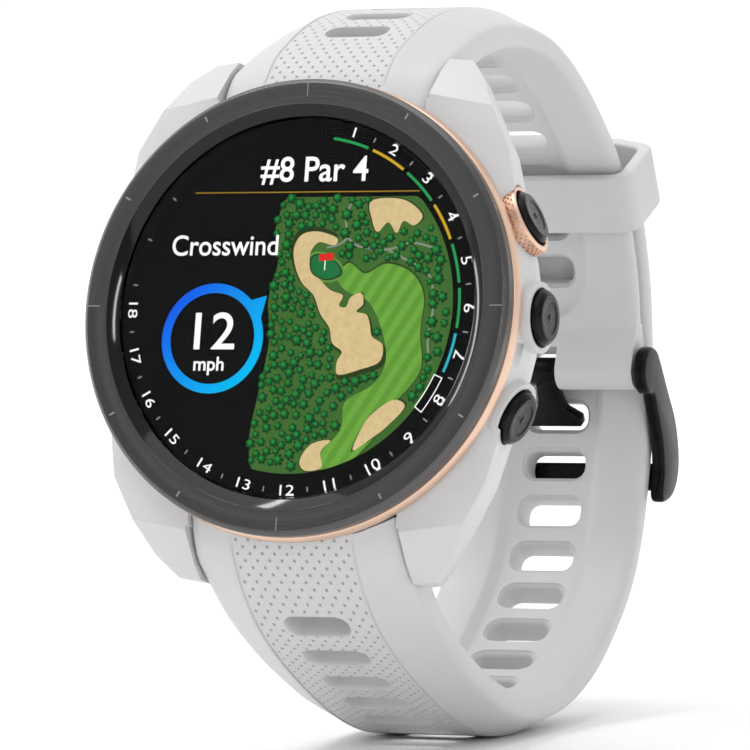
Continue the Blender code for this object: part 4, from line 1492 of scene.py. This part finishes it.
@dataclass
class StrapHalf:
    """One half of the strap: a raised pitted panel outside, a channel inside and a row of slots."""

    axes: WatchAxes
    name: str
    line: Sequence[tuple[float, float, float, float]]
    crown: tuple[float, float]
    slot_start: float
    slot_count: int
    slot_pitch: float = 4.97
    slot_length: float = 6.2
    channel_stop: float = 200.0
    case_radius: float = 21.1
    slot_height: float = 2.65
    lug_half_width: float = 10.4
    half_width: float = 9.9
    panel: float = 6.0
    channel: float = 4.4
    channel_depth: float = 0.8
    spacing: float = 0.7
    tuck_start: float = 20.1
    tuck_length: float = 2.4
    crown_rise: float = 5.2

    @cached_property
    def stations(self) -> list[Station]:
        """Evenly spaced stations on a smooth line through the given ones."""
        steps = 12
        dense = []
        padded = [self.line[0], *self.line, self.line[-1]]
        for near in zip(padded, padded[1:], padded[2:], padded[3:]):
            for step in range(steps):
                dense.append([spline(*values, step / steps) for values in zip(*near)])
        dense.append(list(self.line[-1]))
        pairs = [(Vector((0, iy, iz)), Vector((0, ey, ez))) for iz, iy, ez, ey in dense]
        lengths = [0.0]
        for (i0, e0), (i1, e1) in zip(pairs, pairs[1:]):
            lengths.append(lengths[-1] + ((i1 + e1) / 2 - (i0 + e0) / 2).length)
        count = round(lengths[-1] / self.spacing)
        made, index = [], 1
        for step in range(count + 1):
            distance = lengths[-1] * step / count
            while index < len(lengths) - 1 and lengths[index] < distance:
                index += 1
            share = (distance - lengths[index - 1]) / (lengths[index] - lengths[index - 1])
            inner = pairs[index - 1][0].lerp(pairs[index][0], share)
            edge = pairs[index - 1][1].lerp(pairs[index][1], share)
            made.append(Station(inner, edge, distance))
        return made

    def tuck(self, x: float, station: Station) -> float:
        """How far a point near the case moves in, so that the strap's end follows the round case.

        Args:
            x: How far across the strap the point is.
            station: Its station.

        Returns:
            The distance.
        """
        round_case = (self.case_radius ** 2 - x * x) ** 0.5
        return max(0.0, self.tuck_start - round_case) * max(0.0, 1 - station.along / self.tuck_length)

    def crown_at(self, station: Station) -> float:
        """How far the panel stands above the strap's edge.

        Args:
            station: Where on the strap.

        Returns:
            The height.
        """
        share = station.along / self.stations[-1].along
        crown = self.crown[0] + (self.crown[1] - self.crown[0]) * share
        start = min(1.0, station.along / self.crown_rise)
        return crown * (0.2 + 0.8 * start * start * (3 - 2 * start))

    def section(self, station: Station) -> list[tuple[float, float, float]]:
        """The strap's outline at one station.

        Args:
            station: Where on the strap.

        Returns:
            Points: across, height above the inner face, and the surface map's across value.
        """
        total = self.stations[-1].along
        depth = station.inner.z * 0.5 + station.edge.z * 0.5
        share = min(1.0, max(0.0, (depth + 10.0) / -16.0))
        wide = self.lug_half_width + (self.half_width - self.lug_half_width) * share
        thick, crown = station.thickness, self.crown_at(station)
        ratio = station.along / total
        dip = self.channel_depth * min(1.0, max(0.0, (ratio - 0.06) / 0.06))
        channel = self.channel
        past = station.along - self.channel_stop
        if past > 0:
            channel = max(1.0, (max(0.0, self.channel ** 2 - past ** 2)) ** 0.5)
            dip *= min(1.0, max(0.0, (self.channel - past) / 0.5))
        groove = min(0.16, crown * 0.3) * min(1.0, station.along, total - station.along)
        top, panel = thick + crown, self.panel
        half = [
            (0.0, dip), (channel - 0.45, dip), (channel - 0.15, dip * 0.85), (channel + 0.45, dip * 0.2),
            (channel + 0.95, 0.02), (wide - 1.0, 0.0), (wide - 0.42, 0.06), (wide - 0.12, 0.26), (wide, 0.62),
            (wide, thick - 0.62), (wide - 0.1, thick - 0.28), (wide - 0.36, thick - 0.02),
            (wide - 1.1, thick + crown * 0.22), (panel + 0.9, top - crown * 0.22), (panel + 0.32, top - 0.03),
            (panel + 0.18, top - 0.02), (panel + 0.10, top - groove), (panel - 0.02, top - groove),
            (panel - 0.12, top - 0.02), (panel - 0.35, top), (3.0, top), (0.0, top),
        ]
        right = [(x, h, x if h > thick * 0.5 else x + OFF_PANEL) for x, h in half]
        left = [(-x, h, -x if h > thick * 0.5 else -x + OFF_PANEL) for x, h in half[1:-1]]
        return right + left[::-1]

    def band(self) -> Shape:
        """The strap half before its slots are cut.

        Returns:
            The shape.
        """
        shape = Shape()
        bm = shape.bm
        places: dict[bmesh.types.BMVert, Point] = {}
        caps: list[bmesh.types.BMFace] = []
        previous: list[bmesh.types.BMVert] = []
        for station in self.stations:
            outwards = (station.edge - station.inner).normalized()
            ring = []
            for x, h, across in self.section(station):
                point = Vector((x, 0, 0)) + station.inner + outwards * h
                point.y -= self.tuck(x, station) * (1 if point.y > 0 else -1)
                ring.append(bm.verts.new(point))
                places[ring[-1]] = (across, station.along)
            if previous:
                edges = self.joined(bm, previous) + self.joined(bm, ring)
                for face in bmesh.ops.bridge_loops(bm, edges=edges)["faces"]:
                    self.map_face(shape, face, places)
            else:
                self.joined(bm, ring)
                caps.append(bm.faces.new(ring))
            previous = ring
        last = bm.faces.new(previous)
        if self.channel_stop < self.stations[-1].along:
            caps.append(last)
        bmesh.ops.poke(bm, faces=caps)
        return shape

    @staticmethod
    def joined(bm: bmesh.types.BMesh, ring: Sequence[bmesh.types.BMVert]) -> list[bmesh.types.BMEdge]:
        """Joins a ring of points.

        Args:
            bm: The mesh.
            ring: The points, in order.

        Returns:
            The closed run of edges through them.
        """
        return [bm.edges.get(pair) or bm.edges.new(pair) for pair in zip(ring, [*ring[1:], ring[0]])]

    @staticmethod
    def map_face(shape: Shape, face: bmesh.types.BMFace, places: dict[bmesh.types.BMVert, Point]) -> None:
        """Writes a face's surface map: across and along the strap.

        Args:
            shape: The shape that the face is in.
            face: The face.
            places: Each corner's place across and along.
        """
        across = [places[vert][0] for vert in face.verts]
        mixed = max(across) > OFF_PANEL / 2 > min(across)
        for loop in face.loops:
            value, along = places[loop.vert]
            loop[shape.surface].uv = (OFF_PANEL if mixed else value, along)

    def slot_place(self, distance: float) -> tuple[Matrix, Station]:
        """The axes of a slot, on the middle of the strap's edge.

        Args:
            distance: How far along the strap it is.

        Returns:
            The axes, and the station they are at.
        """
        stations = self.stations
        index = min(range(1, len(stations) - 1), key=lambda i: abs(stations[i].along - distance))
        here, ahead, behind = stations[index], stations[index + 1], stations[index - 1]
        along = ((ahead.inner + ahead.edge) - (behind.inner + behind.edge)).normalized()
        across = Vector((1, 0, 0))
        place = Matrix((across, along, across.cross(along))).transposed().to_4x4()
        place.translation = (here.inner + here.edge) / 2
        return place, here

    def slot_cutter(self, index: int) -> bpy.types.Object:
        """One slot of this half, flared where it meets each face.

        Args:
            index: Which slot, counted from the case.

        Returns:
            The cutting tool.
        """
        shape = Shape()
        bm = shape.bm
        corner = 1.05
        place, station = self.slot_place(self.slot_start + index * self.slot_pitch)
        outwards = (station.edge - station.inner).normalized()
        facing = 1.0 if place.to_3x3().col[2].dot(outwards) > 0 else -1.0
        half = station.thickness / 2
        outer = half + self.crown_at(station)
        inner = half - self.channel_depth
        levels = (
            (-inner - 0.9, 0.62), (-inner + 0.02, 0.40), (-inner + 0.16, 0.20), (-inner + 0.36, 0.06),
            (-inner + 0.6, 0.0), (outer - 0.5, 0.0), (outer - 0.2, 0.05), (outer - 0.04, 0.18),
            (outer + 0.9, 0.6),
        )
        rings = []
        for level, growth in levels:
            half_x, half_y = self.slot_length / 2 + growth, self.slot_height / 2 + growth
            outline = rounded_box(half_x, half_y, corner + growth)
            rings.append([bm.verts.new(place @ Vector((x, y, level * facing))) for x, y in outline])
        for here, there in zip(rings, rings[1:]):
            bmesh.ops.bridge_loops(bm, edges=self.joined(bm, here) + self.joined(bm, there))
        bm.faces.new(rings[0])
        bm.faces.new(rings[-1])
        bmesh.ops.triangulate(bm, faces=bm.faces)
        return shape.plain().finish(f"{self.name}_slot_cutter", [STRAP_SILICONE], self.axes)

    def build(self, cutters: Sequence[bpy.types.Object]) -> bpy.types.Object:
        """Makes the finished half.

        Args:
            cutters: Other tools to cut it with, besides its slots.

        Returns:
            The piece.
        """
        shape = self.band()
        bmesh.ops.triangulate(shape.bm, faces=shape.bm.faces)
        piece = shape.finish(f"{self.name}_band", [STRAP_SILICONE], self.axes)
        for index in range(self.slot_count):
            cut(piece, self.slot_cutter(index))
        for cutter in cutters:
            cut(piece, cutter)
        return smoothed(piece, STRAP_SHARP_DEG)


def rounded_box(half_x: float, half_y: float, corner: float, steps: int = 5) -> list[Point]:
    """A rectangle with round corners.

    Args:
        half_x: Half its width.
        half_y: Half its height.
        corner: The corners' radius.
        steps: Straight stretches in each corner.

    Returns:
        The outline.
    """
    corner = min(corner, half_x, half_y)
    outline = []
    for index, (side_x, side_y) in enumerate(((1, 1), (-1, 1), (-1, -1), (1, -1))):
        for step in range(steps + 1):
            angle = pi / 2 * (index + step / steps)
            outline.append((
                side_x * (half_x - corner) + corner * cos(angle),
                side_y * (half_y - corner) + corner * sin(angle),
            ))
    return outline


def cut(piece: bpy.types.Object, cutter: bpy.types.Object, operation: str = "DIFFERENCE") -> None:
    """Cuts a piece with a tool, or joins the tool on, and removes the tool.

    Args:
        piece: The object.
        cutter: The tool.
        operation: The Boolean's operation.
    """
    modifier = piece.modifiers.new("shaping", "BOOLEAN")
    modifier.operation = operation
    modifier.solver = "EXACT"
    modifier.object = cutter
    applied(piece)
    bpy.data.objects.remove(cutter)


@dataclass
class Strap:
    """Both halves, the end that wraps the buckle's pin, and the bores of the quick-release bars."""

    axes: WatchAxes
    end_radius: float = 1.85
    wrap_half_width: float = 9.85
    tool_half_length: float = 12.0

    def tube(self, name: str, radius: float, spot: Point) -> bpy.types.Object:
        """A round tool across the watch.

        Args:
            name: The tool's name.
            radius: Its radius.
            spot: Its y and z.

        Returns:
            The tool.
        """
        half = self.tool_half_length
        place = Matrix.Translation((0, *spot)) @ Matrix.Rotation(pi / 2, 4, "Y")
        profile = rounded(((0, -half), (radius, -half), (radius, half), (0, half)), 0.3, closed=False)
        shape = Shape().turn(profile, closed=False, steps=48, place=place).plain()
        return shape.finish(name, [STRAP_SILICONE], self.axes)

    def wrap(self) -> bpy.types.Object:
        """The short half's end, which swells smoothly round the buckle's pin.

        Returns:
            The tool to join on.
        """
        pin_y, pin_z = BUCKLE_PIN
        circle = [
            (pin_z + self.end_radius * cos(radians(angle)), pin_y + self.end_radius * sin(radians(angle)))
            for angle in range(-170, 1, 10)
        ]
        taper = [(pin_z + 1.62, pin_y + 1.5), (pin_z + 1.38, pin_y + 3.0), (pin_z + 1.1, pin_y + 4.5)]
        back = [(pin_z - 0.3, pin_y + 4.8), (pin_z - 1.2, pin_y + 3.0), (pin_z - 1.6, pin_y + 1.5)]
        half = self.wrap_half_width
        shape = Shape().prism(circle + taper + back, -half, half, side_on(0.0, 0.0)).plain()
        return shape.finish("pin_wrap", [STRAP_SILICONE], self.axes)

    def box(self, name: str, low: Sequence[float], high: Sequence[float]) -> bpy.types.Object:
        """A square-edged tool between two corners.

        Args:
            name: The tool's name.
            low: The corner with the least of each coordinate.
            high: The corner with the most.

        Returns:
            The tool.
        """
        outline = ((low[0], low[1]), (high[0], low[1]), (high[0], high[1]), (low[0], high[1]))
        shape = Shape().prism(outline, low[2], high[2]).plain()
        return shape.finish(name, [STRAP_SILICONE], self.axes, flat=True)

    def build(self) -> None:
        """Makes the strap's pieces."""
        short = StrapHalf(self.axes, "short_strap", SHORT_LINE, (1.8, 1.05), 7.2, 12, channel_stop=61.9)
        long = StrapHalf(self.axes, "long_strap", LONG_LINE, (1.8, 1.2), 7.4, 18)
        bar_y, bar_z = BAR_SPOT
        pin_y, pin_z = BUCKLE_PIN
        for half, side in ((short, 1), (long, -1)):
            near, far = sorted((side * (bar_y - 0.75), side * (bar_y + 0.75)))
            tools = [
                self.tube("bar_bore", 1.0, (side * bar_y, bar_z)),
                self.box("lever_window", (3.0, near, bar_z - 5.0), (6.4, far, bar_z)),
            ]
            piece = half.build(tools)
            if half is short:
                cut(piece, self.wrap(), "UNION")
                cut(piece, self.tube("pin_bore", 0.7, BUCKLE_PIN))
                cut(piece, self.box("prong_notch", (-1.7, -2.0, pin_z - 4), (1.7, pin_y + 2.2, pin_z + 4)))
                smoothed(piece, STRAP_SHARP_DEG)
            ridden(piece, Body.WATCH, [half.name])


SHORT_LINE = (
    (-9.7, 20.35, -3.5, 20.35),
    (-10.3, 21.6, -4.6, 21.9),
    (-11.9, 23.1, -7.6, 24.2),
    (-14.0, 24.7, -12.0, 26.9),
    (-17.0, 26.4, -16.2, 29.0),
    (-22.0, 28.3, -21.6, 30.8),
    (-28.5, 29.7, -28.4, 31.9),
    (-34.5, 29.8, -35.0, 31.8),
    (-40.5, 28.2, -41.2, 30.1),
    (-46.5, 25.6, -47.4, 27.3),
    (-51.6, 22.5, -52.9, 23.8),
    (-55.0, 18.0, -56.5, 18.9),
    (-57.9, 12.9, -59.5, 13.6),
    (-59.5, 7.9, -61.2, 8.3),
    (-60.0, 4.6, -61.8, 4.6),
)
LONG_LINE = (
    (-9.7, -20.35, -3.5, -20.35),
    (-10.3, -21.4, -4.6, -21.9),
    (-11.5, -22.6, -7.6, -24.0),
    (-14.0, -24.5, -12.4, -27.0),
    (-18.0, -26.7, -17.3, -29.1),
    (-23.0, -28.4, -22.6, -30.8),
    (-30.0, -30.1, -29.8, -32.5),
    (-37.0, -30.7, -37.2, -33.1),
    (-43.0, -30.0, -43.7, -32.2),
    (-49.0, -28.0, -49.9, -29.9),
    (-53.8, -24.9, -55.3, -26.4),
    (-57.9, -20.7, -59.7, -21.9),
    (-61.2, -16.2, -63.2, -17.0),
    (-63.0, -11.3, -65.1, -11.8),
    (-63.8, -5.0, -66.0, -5.1),
    (-63.8, 0.0, -66.0, 0.3),
    (-63.0, 5.0, -65.1, 5.5),
    (-61.9, 10.0, -63.9, 10.6),
    (-60.6, 14.1, -62.4, 14.9),
    (-57.6, 19.6, -59.3, 20.7),
    (-56.4, 21.2, -58.0, 22.4),
)


# ---------------------------------------------------------------- the rest


@dataclass
class Hardware:
    """Case, rear cover, keeper, buckle and the small parts that show, finer than the frame's."""

    frame: dict

    def build(self) -> None:
        """Makes the softened copies and dresses every other node."""
        watch = Body.WATCH
        softened(self.frame, "case_body", CASE_POLYMER, watch, 0.22, 3, 24.0)
        softened(self.frame, "rear_cover", CASE_POLYMER, watch, 0.12)
        softened(self.frame, "buckle_prong", BUCKLE_BLACK, Body.PRONG, 0.22, 2)
        softened(self.frame, "buckle_pin", STEEL, watch, 0.12)
        softened(self.frame, "charge_port", BLACK_PLASTIC, watch, 0.08)
        for number in range(1, 5):
            softened(self.frame, f"rear_screw_{number}", STEEL, watch, 0.08)
        for part in self.frame["record"]["subparts"]:
            self.dress(part["node"], SLOT_FINISHES[part["material_slot"]])
        self.dress("sensor_window", SENSOR_GLASS)

    def dress(self, name: str, surface: Surface) -> None:
        """Gives a node of the frame its surface.

        Args:
            name: The node's name.
            surface: The surface.
        """
        materials = self.frame["nodes"][name].data.materials
        materials.clear()
        materials.append(surface.material())


@dataclass
class Keeper:
    """The loop that holds the strap's tail down."""

    axes: WatchAxes
    height: float = -53.55
    behind: float = 20.3
    lean_deg: float = 54.0
    half_length: float = 3.0

    def build(self) -> None:
        """Makes the loop, on its own axes along the strap."""
        lean = radians(self.lean_deg)
        along = Vector((0, -sin(lean), -cos(lean)))
        across = Vector((1, 0, 0))
        place = Matrix((across, across.cross(along), along)).transposed().to_4x4()
        place.translation = Vector((0, self.behind, self.height))
        outer = ((9.6, -1.8), (11.2, -1.3), (11.6, -0.4), (11.6, 6.2), (7.0, 8.1))
        inner = ((10.2, -0.7), (10.2, 5.5), (6.6, 6.8))
        reach = self.half_length
        loop = Shape().prism(rounded(mirrored(outer), 1.5, steps=5), -reach, reach, place)
        hole = Shape().prism(rounded(mirrored(inner), 1.0, steps=4), -4.0, 4.0, place)
        piece = loop.finish("keeper_loop", [KEEPER_SILICONE], self.axes)
        cut(piece, hole.finish("keeper_hole", [KEEPER_SILICONE], self.axes))
        ridden(rims_rounded(piece, 0.42, 4), Body.KEEPER, ["strap_keeper"])


def mirrored(half: Sequence[Point]) -> list[Point]:
    """Doubles an outline across y.

    Args:
        half: One half of the outline.

    Returns:
        The half, then its mirror image.
    """
    return [*half, *((-x, y) for x, y in reversed(half))]


def side_on(y: float, z: float) -> Matrix:
    """Axes whose x is the watch's z and whose z is the watch's x.

    Args:
        y: Where they are, along the watch's y.
        z: Where they are, along the watch's z.

    Returns:
        The axes.
    """
    return Matrix(((0, 0, 1, 0), (0, 1, 0, y), (1, 0, 0, z), (0, 0, 0, 1)))


@dataclass
class Buckle:
    """The buckle's frame: two curved arms joined by a bar, bored for the pin."""

    axes: WatchAxes
    arm_inside: float = 10.15
    arm_outside: float = 11.5
    boss_radius: float = 2.4
    bore_radius: float = 0.68
    bore_reach: float = 11.2

    def build(self) -> None:
        """Makes the frame in the plane of its arms, whose x is the watch's z."""
        angles = [radians(285 - 30 * step) for step in range(9)]
        boss = [(-self.boss_radius * cos(angle), self.boss_radius * sin(angle)) for angle in angles]
        outer = [(-4.6, -1.2), (-7.0, -3.6), (-8.55, -6.6), (-8.75, -9.2), (-7.6, -11.3), (-5.4, -12.3)]
        inner = [(-4.5, -11.6), (-4.6, -9.4), (-3.9, -7.0), (-2.7, -5.0), (-1.5, -3.4)]
        arm = smooth_outline(boss + outer + inner, 4)
        piece = self.straight("buckle_arms", arm, self.arm_inside, self.arm_outside)
        cut(piece, self.straight("far_arm", arm, -self.arm_outside, -self.arm_inside), "UNION")
        rims_rounded(piece, 0.38, 4, 60.0)
        bar = rounded(((-8.4, -8.1), (-8.2, -10.1), (-7.5, -10.9), (-7.15, -10.7), (-7.1, -8.1)), 0.3)
        reach = self.arm_inside + 0.5
        cut(piece, self.straight("cross_bar", bar, -reach, reach), "UNION")
        radius = self.bore_radius
        bore = [(radius * cos(step * pi / 16), radius * sin(step * pi / 16)) for step in range(32)]
        cut(piece, self.straight("pin_hole", bore, -self.bore_reach, self.bore_reach))
        ridden(smoothed(piece), Body.BUCKLE, ["buckle_frame"])

    def straight(self, name: str, outline: Sequence[Point], low: float, high: float) -> bpy.types.Object:
        """One straight-sided part of the frame, or a tool.

        Args:
            name: Its name.
            outline: Its outline, from the pin.
            low: The watch's x that it starts at.
            high: The watch's x that it ends at.

        Returns:
            The object.
        """
        return Shape().prism(outline, low, high, side_on(*BUCKLE_PIN)).finish(name, [BUCKLE_BLACK], self.axes)


@dataclass
class Springs:
    """Coil springs of the buttons and bars."""

    axes: WatchAxes

    def build(self) -> None:
        """Makes the five springs."""
        for name in BUTTON_ANGLES:
            place = self.axes.button(name)
            coil = self.coil(f"{name}_return_coil", 1.7, 0.14, 20.3, 21.1, 2.0, place)
            self.sprung(coil, f"{name}_button_spring")
        for name, side in (("upper", 1), ("lower", -1)):
            place = Matrix.Translation((0, side * BAR_SPOT[0], BAR_SPOT[1])) @ Matrix.Rotation(pi / 2, 4, "Y")
            coil = self.coil(f"{name}_bar_coil", 0.42, 0.1, -2.3, 2.7, 6.0, place)
            self.sprung(coil, f"{name}_bar_spring")

    def coil(
        self, name: str, radius: float, wire: float, low: float, high: float, turns: float, place: Matrix
    ) -> bpy.types.Object:
        """A round wire wound up an axis.

        Args:
            name: The piece's name.
            radius: The winding's radius.
            wire: The wire's radius.
            low: Where the wire starts.
            high: Where it ends.
            turns: How many turns it makes.
            place: The axis's place.

        Returns:
            The piece.
        """
        shape = Shape()
        bm = shape.bm
        steps = round(turns * 20)
        start = bmesh.ops.create_circle(
            bm, cap_ends=False, segments=8, radius=wire,
            matrix=Matrix.Translation((radius, 0, low)) @ Matrix.Rotation(pi / 2, 4, "X"),
        )["verts"]
        edges = list({edge for vert in start for edge in vert.link_edges})
        grown = bmesh.ops.spin(
            bm, geom=start + edges, cent=(0, 0, 0), axis=(0, 0, 1), dvec=(0, 0, (high - low) / steps),
            angle=2 * pi * turns, steps=steps, use_merge=False, use_duplicate=False,
        )["geom_last"]
        bmesh.ops.contextual_create(bm, geom=edges)
        bmesh.ops.contextual_create(bm, geom=[item for item in grown if isinstance(item, bmesh.types.BMEdge)])
        bmesh.ops.transform(bm, matrix=place, verts=bm.verts)
        return shape.finish(name, [STEEL], self.axes)

    def sprung(
        self, piece: bpy.types.Object, node: str
    ) -> None:
        """Sets a coil in place of its node, on a mesh of its own.

        Args:
            piece: The coil.
            node: The node it replaces.
        """
        ridden(piece, Body.WATCH, [node])
        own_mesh(piece)


@dataclass
class Studio:
    """Floor, lights and camera."""

    axes: WatchAxes
    floor_height: float
    distance: float = 568.0
    aside: float = -7.525
    above: float = 6.301
    tilt_deg: float = 87.0009
    roll_deg: float = 1.1685
    turn_deg: float = 23.8736
    focal_mm: float = 300.72
    sensor_mm: float = 36.0

    def build(self) -> None:
        """Makes the floor, the lights and the camera."""
        self.floor()
        self.camera()
        self.world()
        target = self.axes.to_frame.translation + Vector((0, 0.03, 0))
        self.light("left", target, (-1.15, -0.10, 0.30), (0.06, 0.5), 1.3)
        self.light("right", target, (0.68, -0.92, 0.40), (0.05, 0.40), 1.3)
        self.light("top", target, (-0.50, -0.14, 1.09), (0.40, 0.05), 1.3)
        self.sun()

    def floor(self) -> None:
        """A flat pale sheet."""
        bm = bmesh.new()
        bmesh.ops.create_grid(bm, x_segments=1, y_segments=1, size=6.0)
        bmesh.ops.translate(bm, vec=(0, 0, self.floor_height), verts=bm.verts)
        placed(bm, "floor", FLOOR_PAPER)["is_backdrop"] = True

    def sun(self) -> None:
        """An even soft light from above."""
        lamp = bpy.data.lights.new("overhead", "SUN")
        lamp.energy = 1.15
        lamp.angle = radians(60)
        made = linked("overhead", lamp)
        made.rotation_euler = Vector((0.16, 0.16, -0.97)).to_track_quat("-Z", "Y").to_euler()

    def light(self, name: str, target: Vector, offset: Sequence[float], size: Point, power: float) -> None:
        """One soft strip light that faces the watch.

        Args:
            name: The light's name.
            target: What it faces.
            offset: Where it is from there, in metres.
            size: Its two sides, in metres.
            power: Its power, in watts.
        """
        lamp = bpy.data.lights.new(name, "AREA")
        lamp.shape = "RECTANGLE"
        lamp.size, lamp.size_y = size
        lamp.energy = power
        made = linked(name, lamp)
        made.location = target + Vector(offset)
        made.rotation_euler = (-Vector(offset)).to_track_quat("-Z", "Y").to_euler()

    def camera(self) -> None:
        """The camera, placed by where the bezel's middle lies from it."""
        lens = bpy.data.cameras.new("camera")
        lens.lens = self.focal_mm
        lens.sensor_width = self.sensor_mm
        lens.clip_start = 0.01
        made = linked("camera", lens)
        made.rotation_euler = (radians(self.tilt_deg), radians(self.roll_deg), radians(self.turn_deg))
        turn = made.rotation_euler.to_matrix()
        offset = turn @ Vector((self.aside, self.above, -self.distance)) * MM
        made.location = self.axes.to_frame.translation - offset
        bpy.context.scene.camera = made

    def world(self) -> None:
        """A pale surround, brightest above and behind."""
        world = bpy.data.worlds.new("surround")
        world.use_nodes = True
        graph = Graph(world.node_tree)
        place = graph.add("TexCoord").outputs["Generated"]
        brightest = Vector((-0.42, 0.80, 0.42)).normalized()
        facing = graph.add("VectorMath", {0: place, 1: brightest}, operation="DOT_PRODUCT").outputs["Value"]
        level = graph.add(
            "MapRange", {"Value": facing, "From Min": -1.0, "From Max": 0.8, "To Min": 0.42, "To Max": 1.06}
        )
        background = graph.first("BACKGROUND")
        graph.feed(background, {"Color": (1.0, 1.0, 1.0, 1.0), "Strength": level.outputs["Result"]})
        bpy.context.scene.world = world
        bpy.context.scene.view_settings.view_transform = "Standard"


def main() -> None:
    """Builds every sub-assembly in order, then the studio round them."""
    for thing in list(bpy.data.objects):
        bpy.data.objects.remove(thing, do_unlink=True)
    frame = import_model()
    cad_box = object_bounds()
    axes = WatchAxes.from_record(frame["record"])
    Hardware(frame).build()
    Front(axes).build()
    Display(axes).build()
    Buttons(axes).build()
    Strap(axes).build()
    Keeper(axes).build()
    Buckle(axes).build()
    Springs(axes).build()
    Studio(axes, cad_box[0][2]).build()
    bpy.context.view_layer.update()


if __name__ == "__main__":
    main()
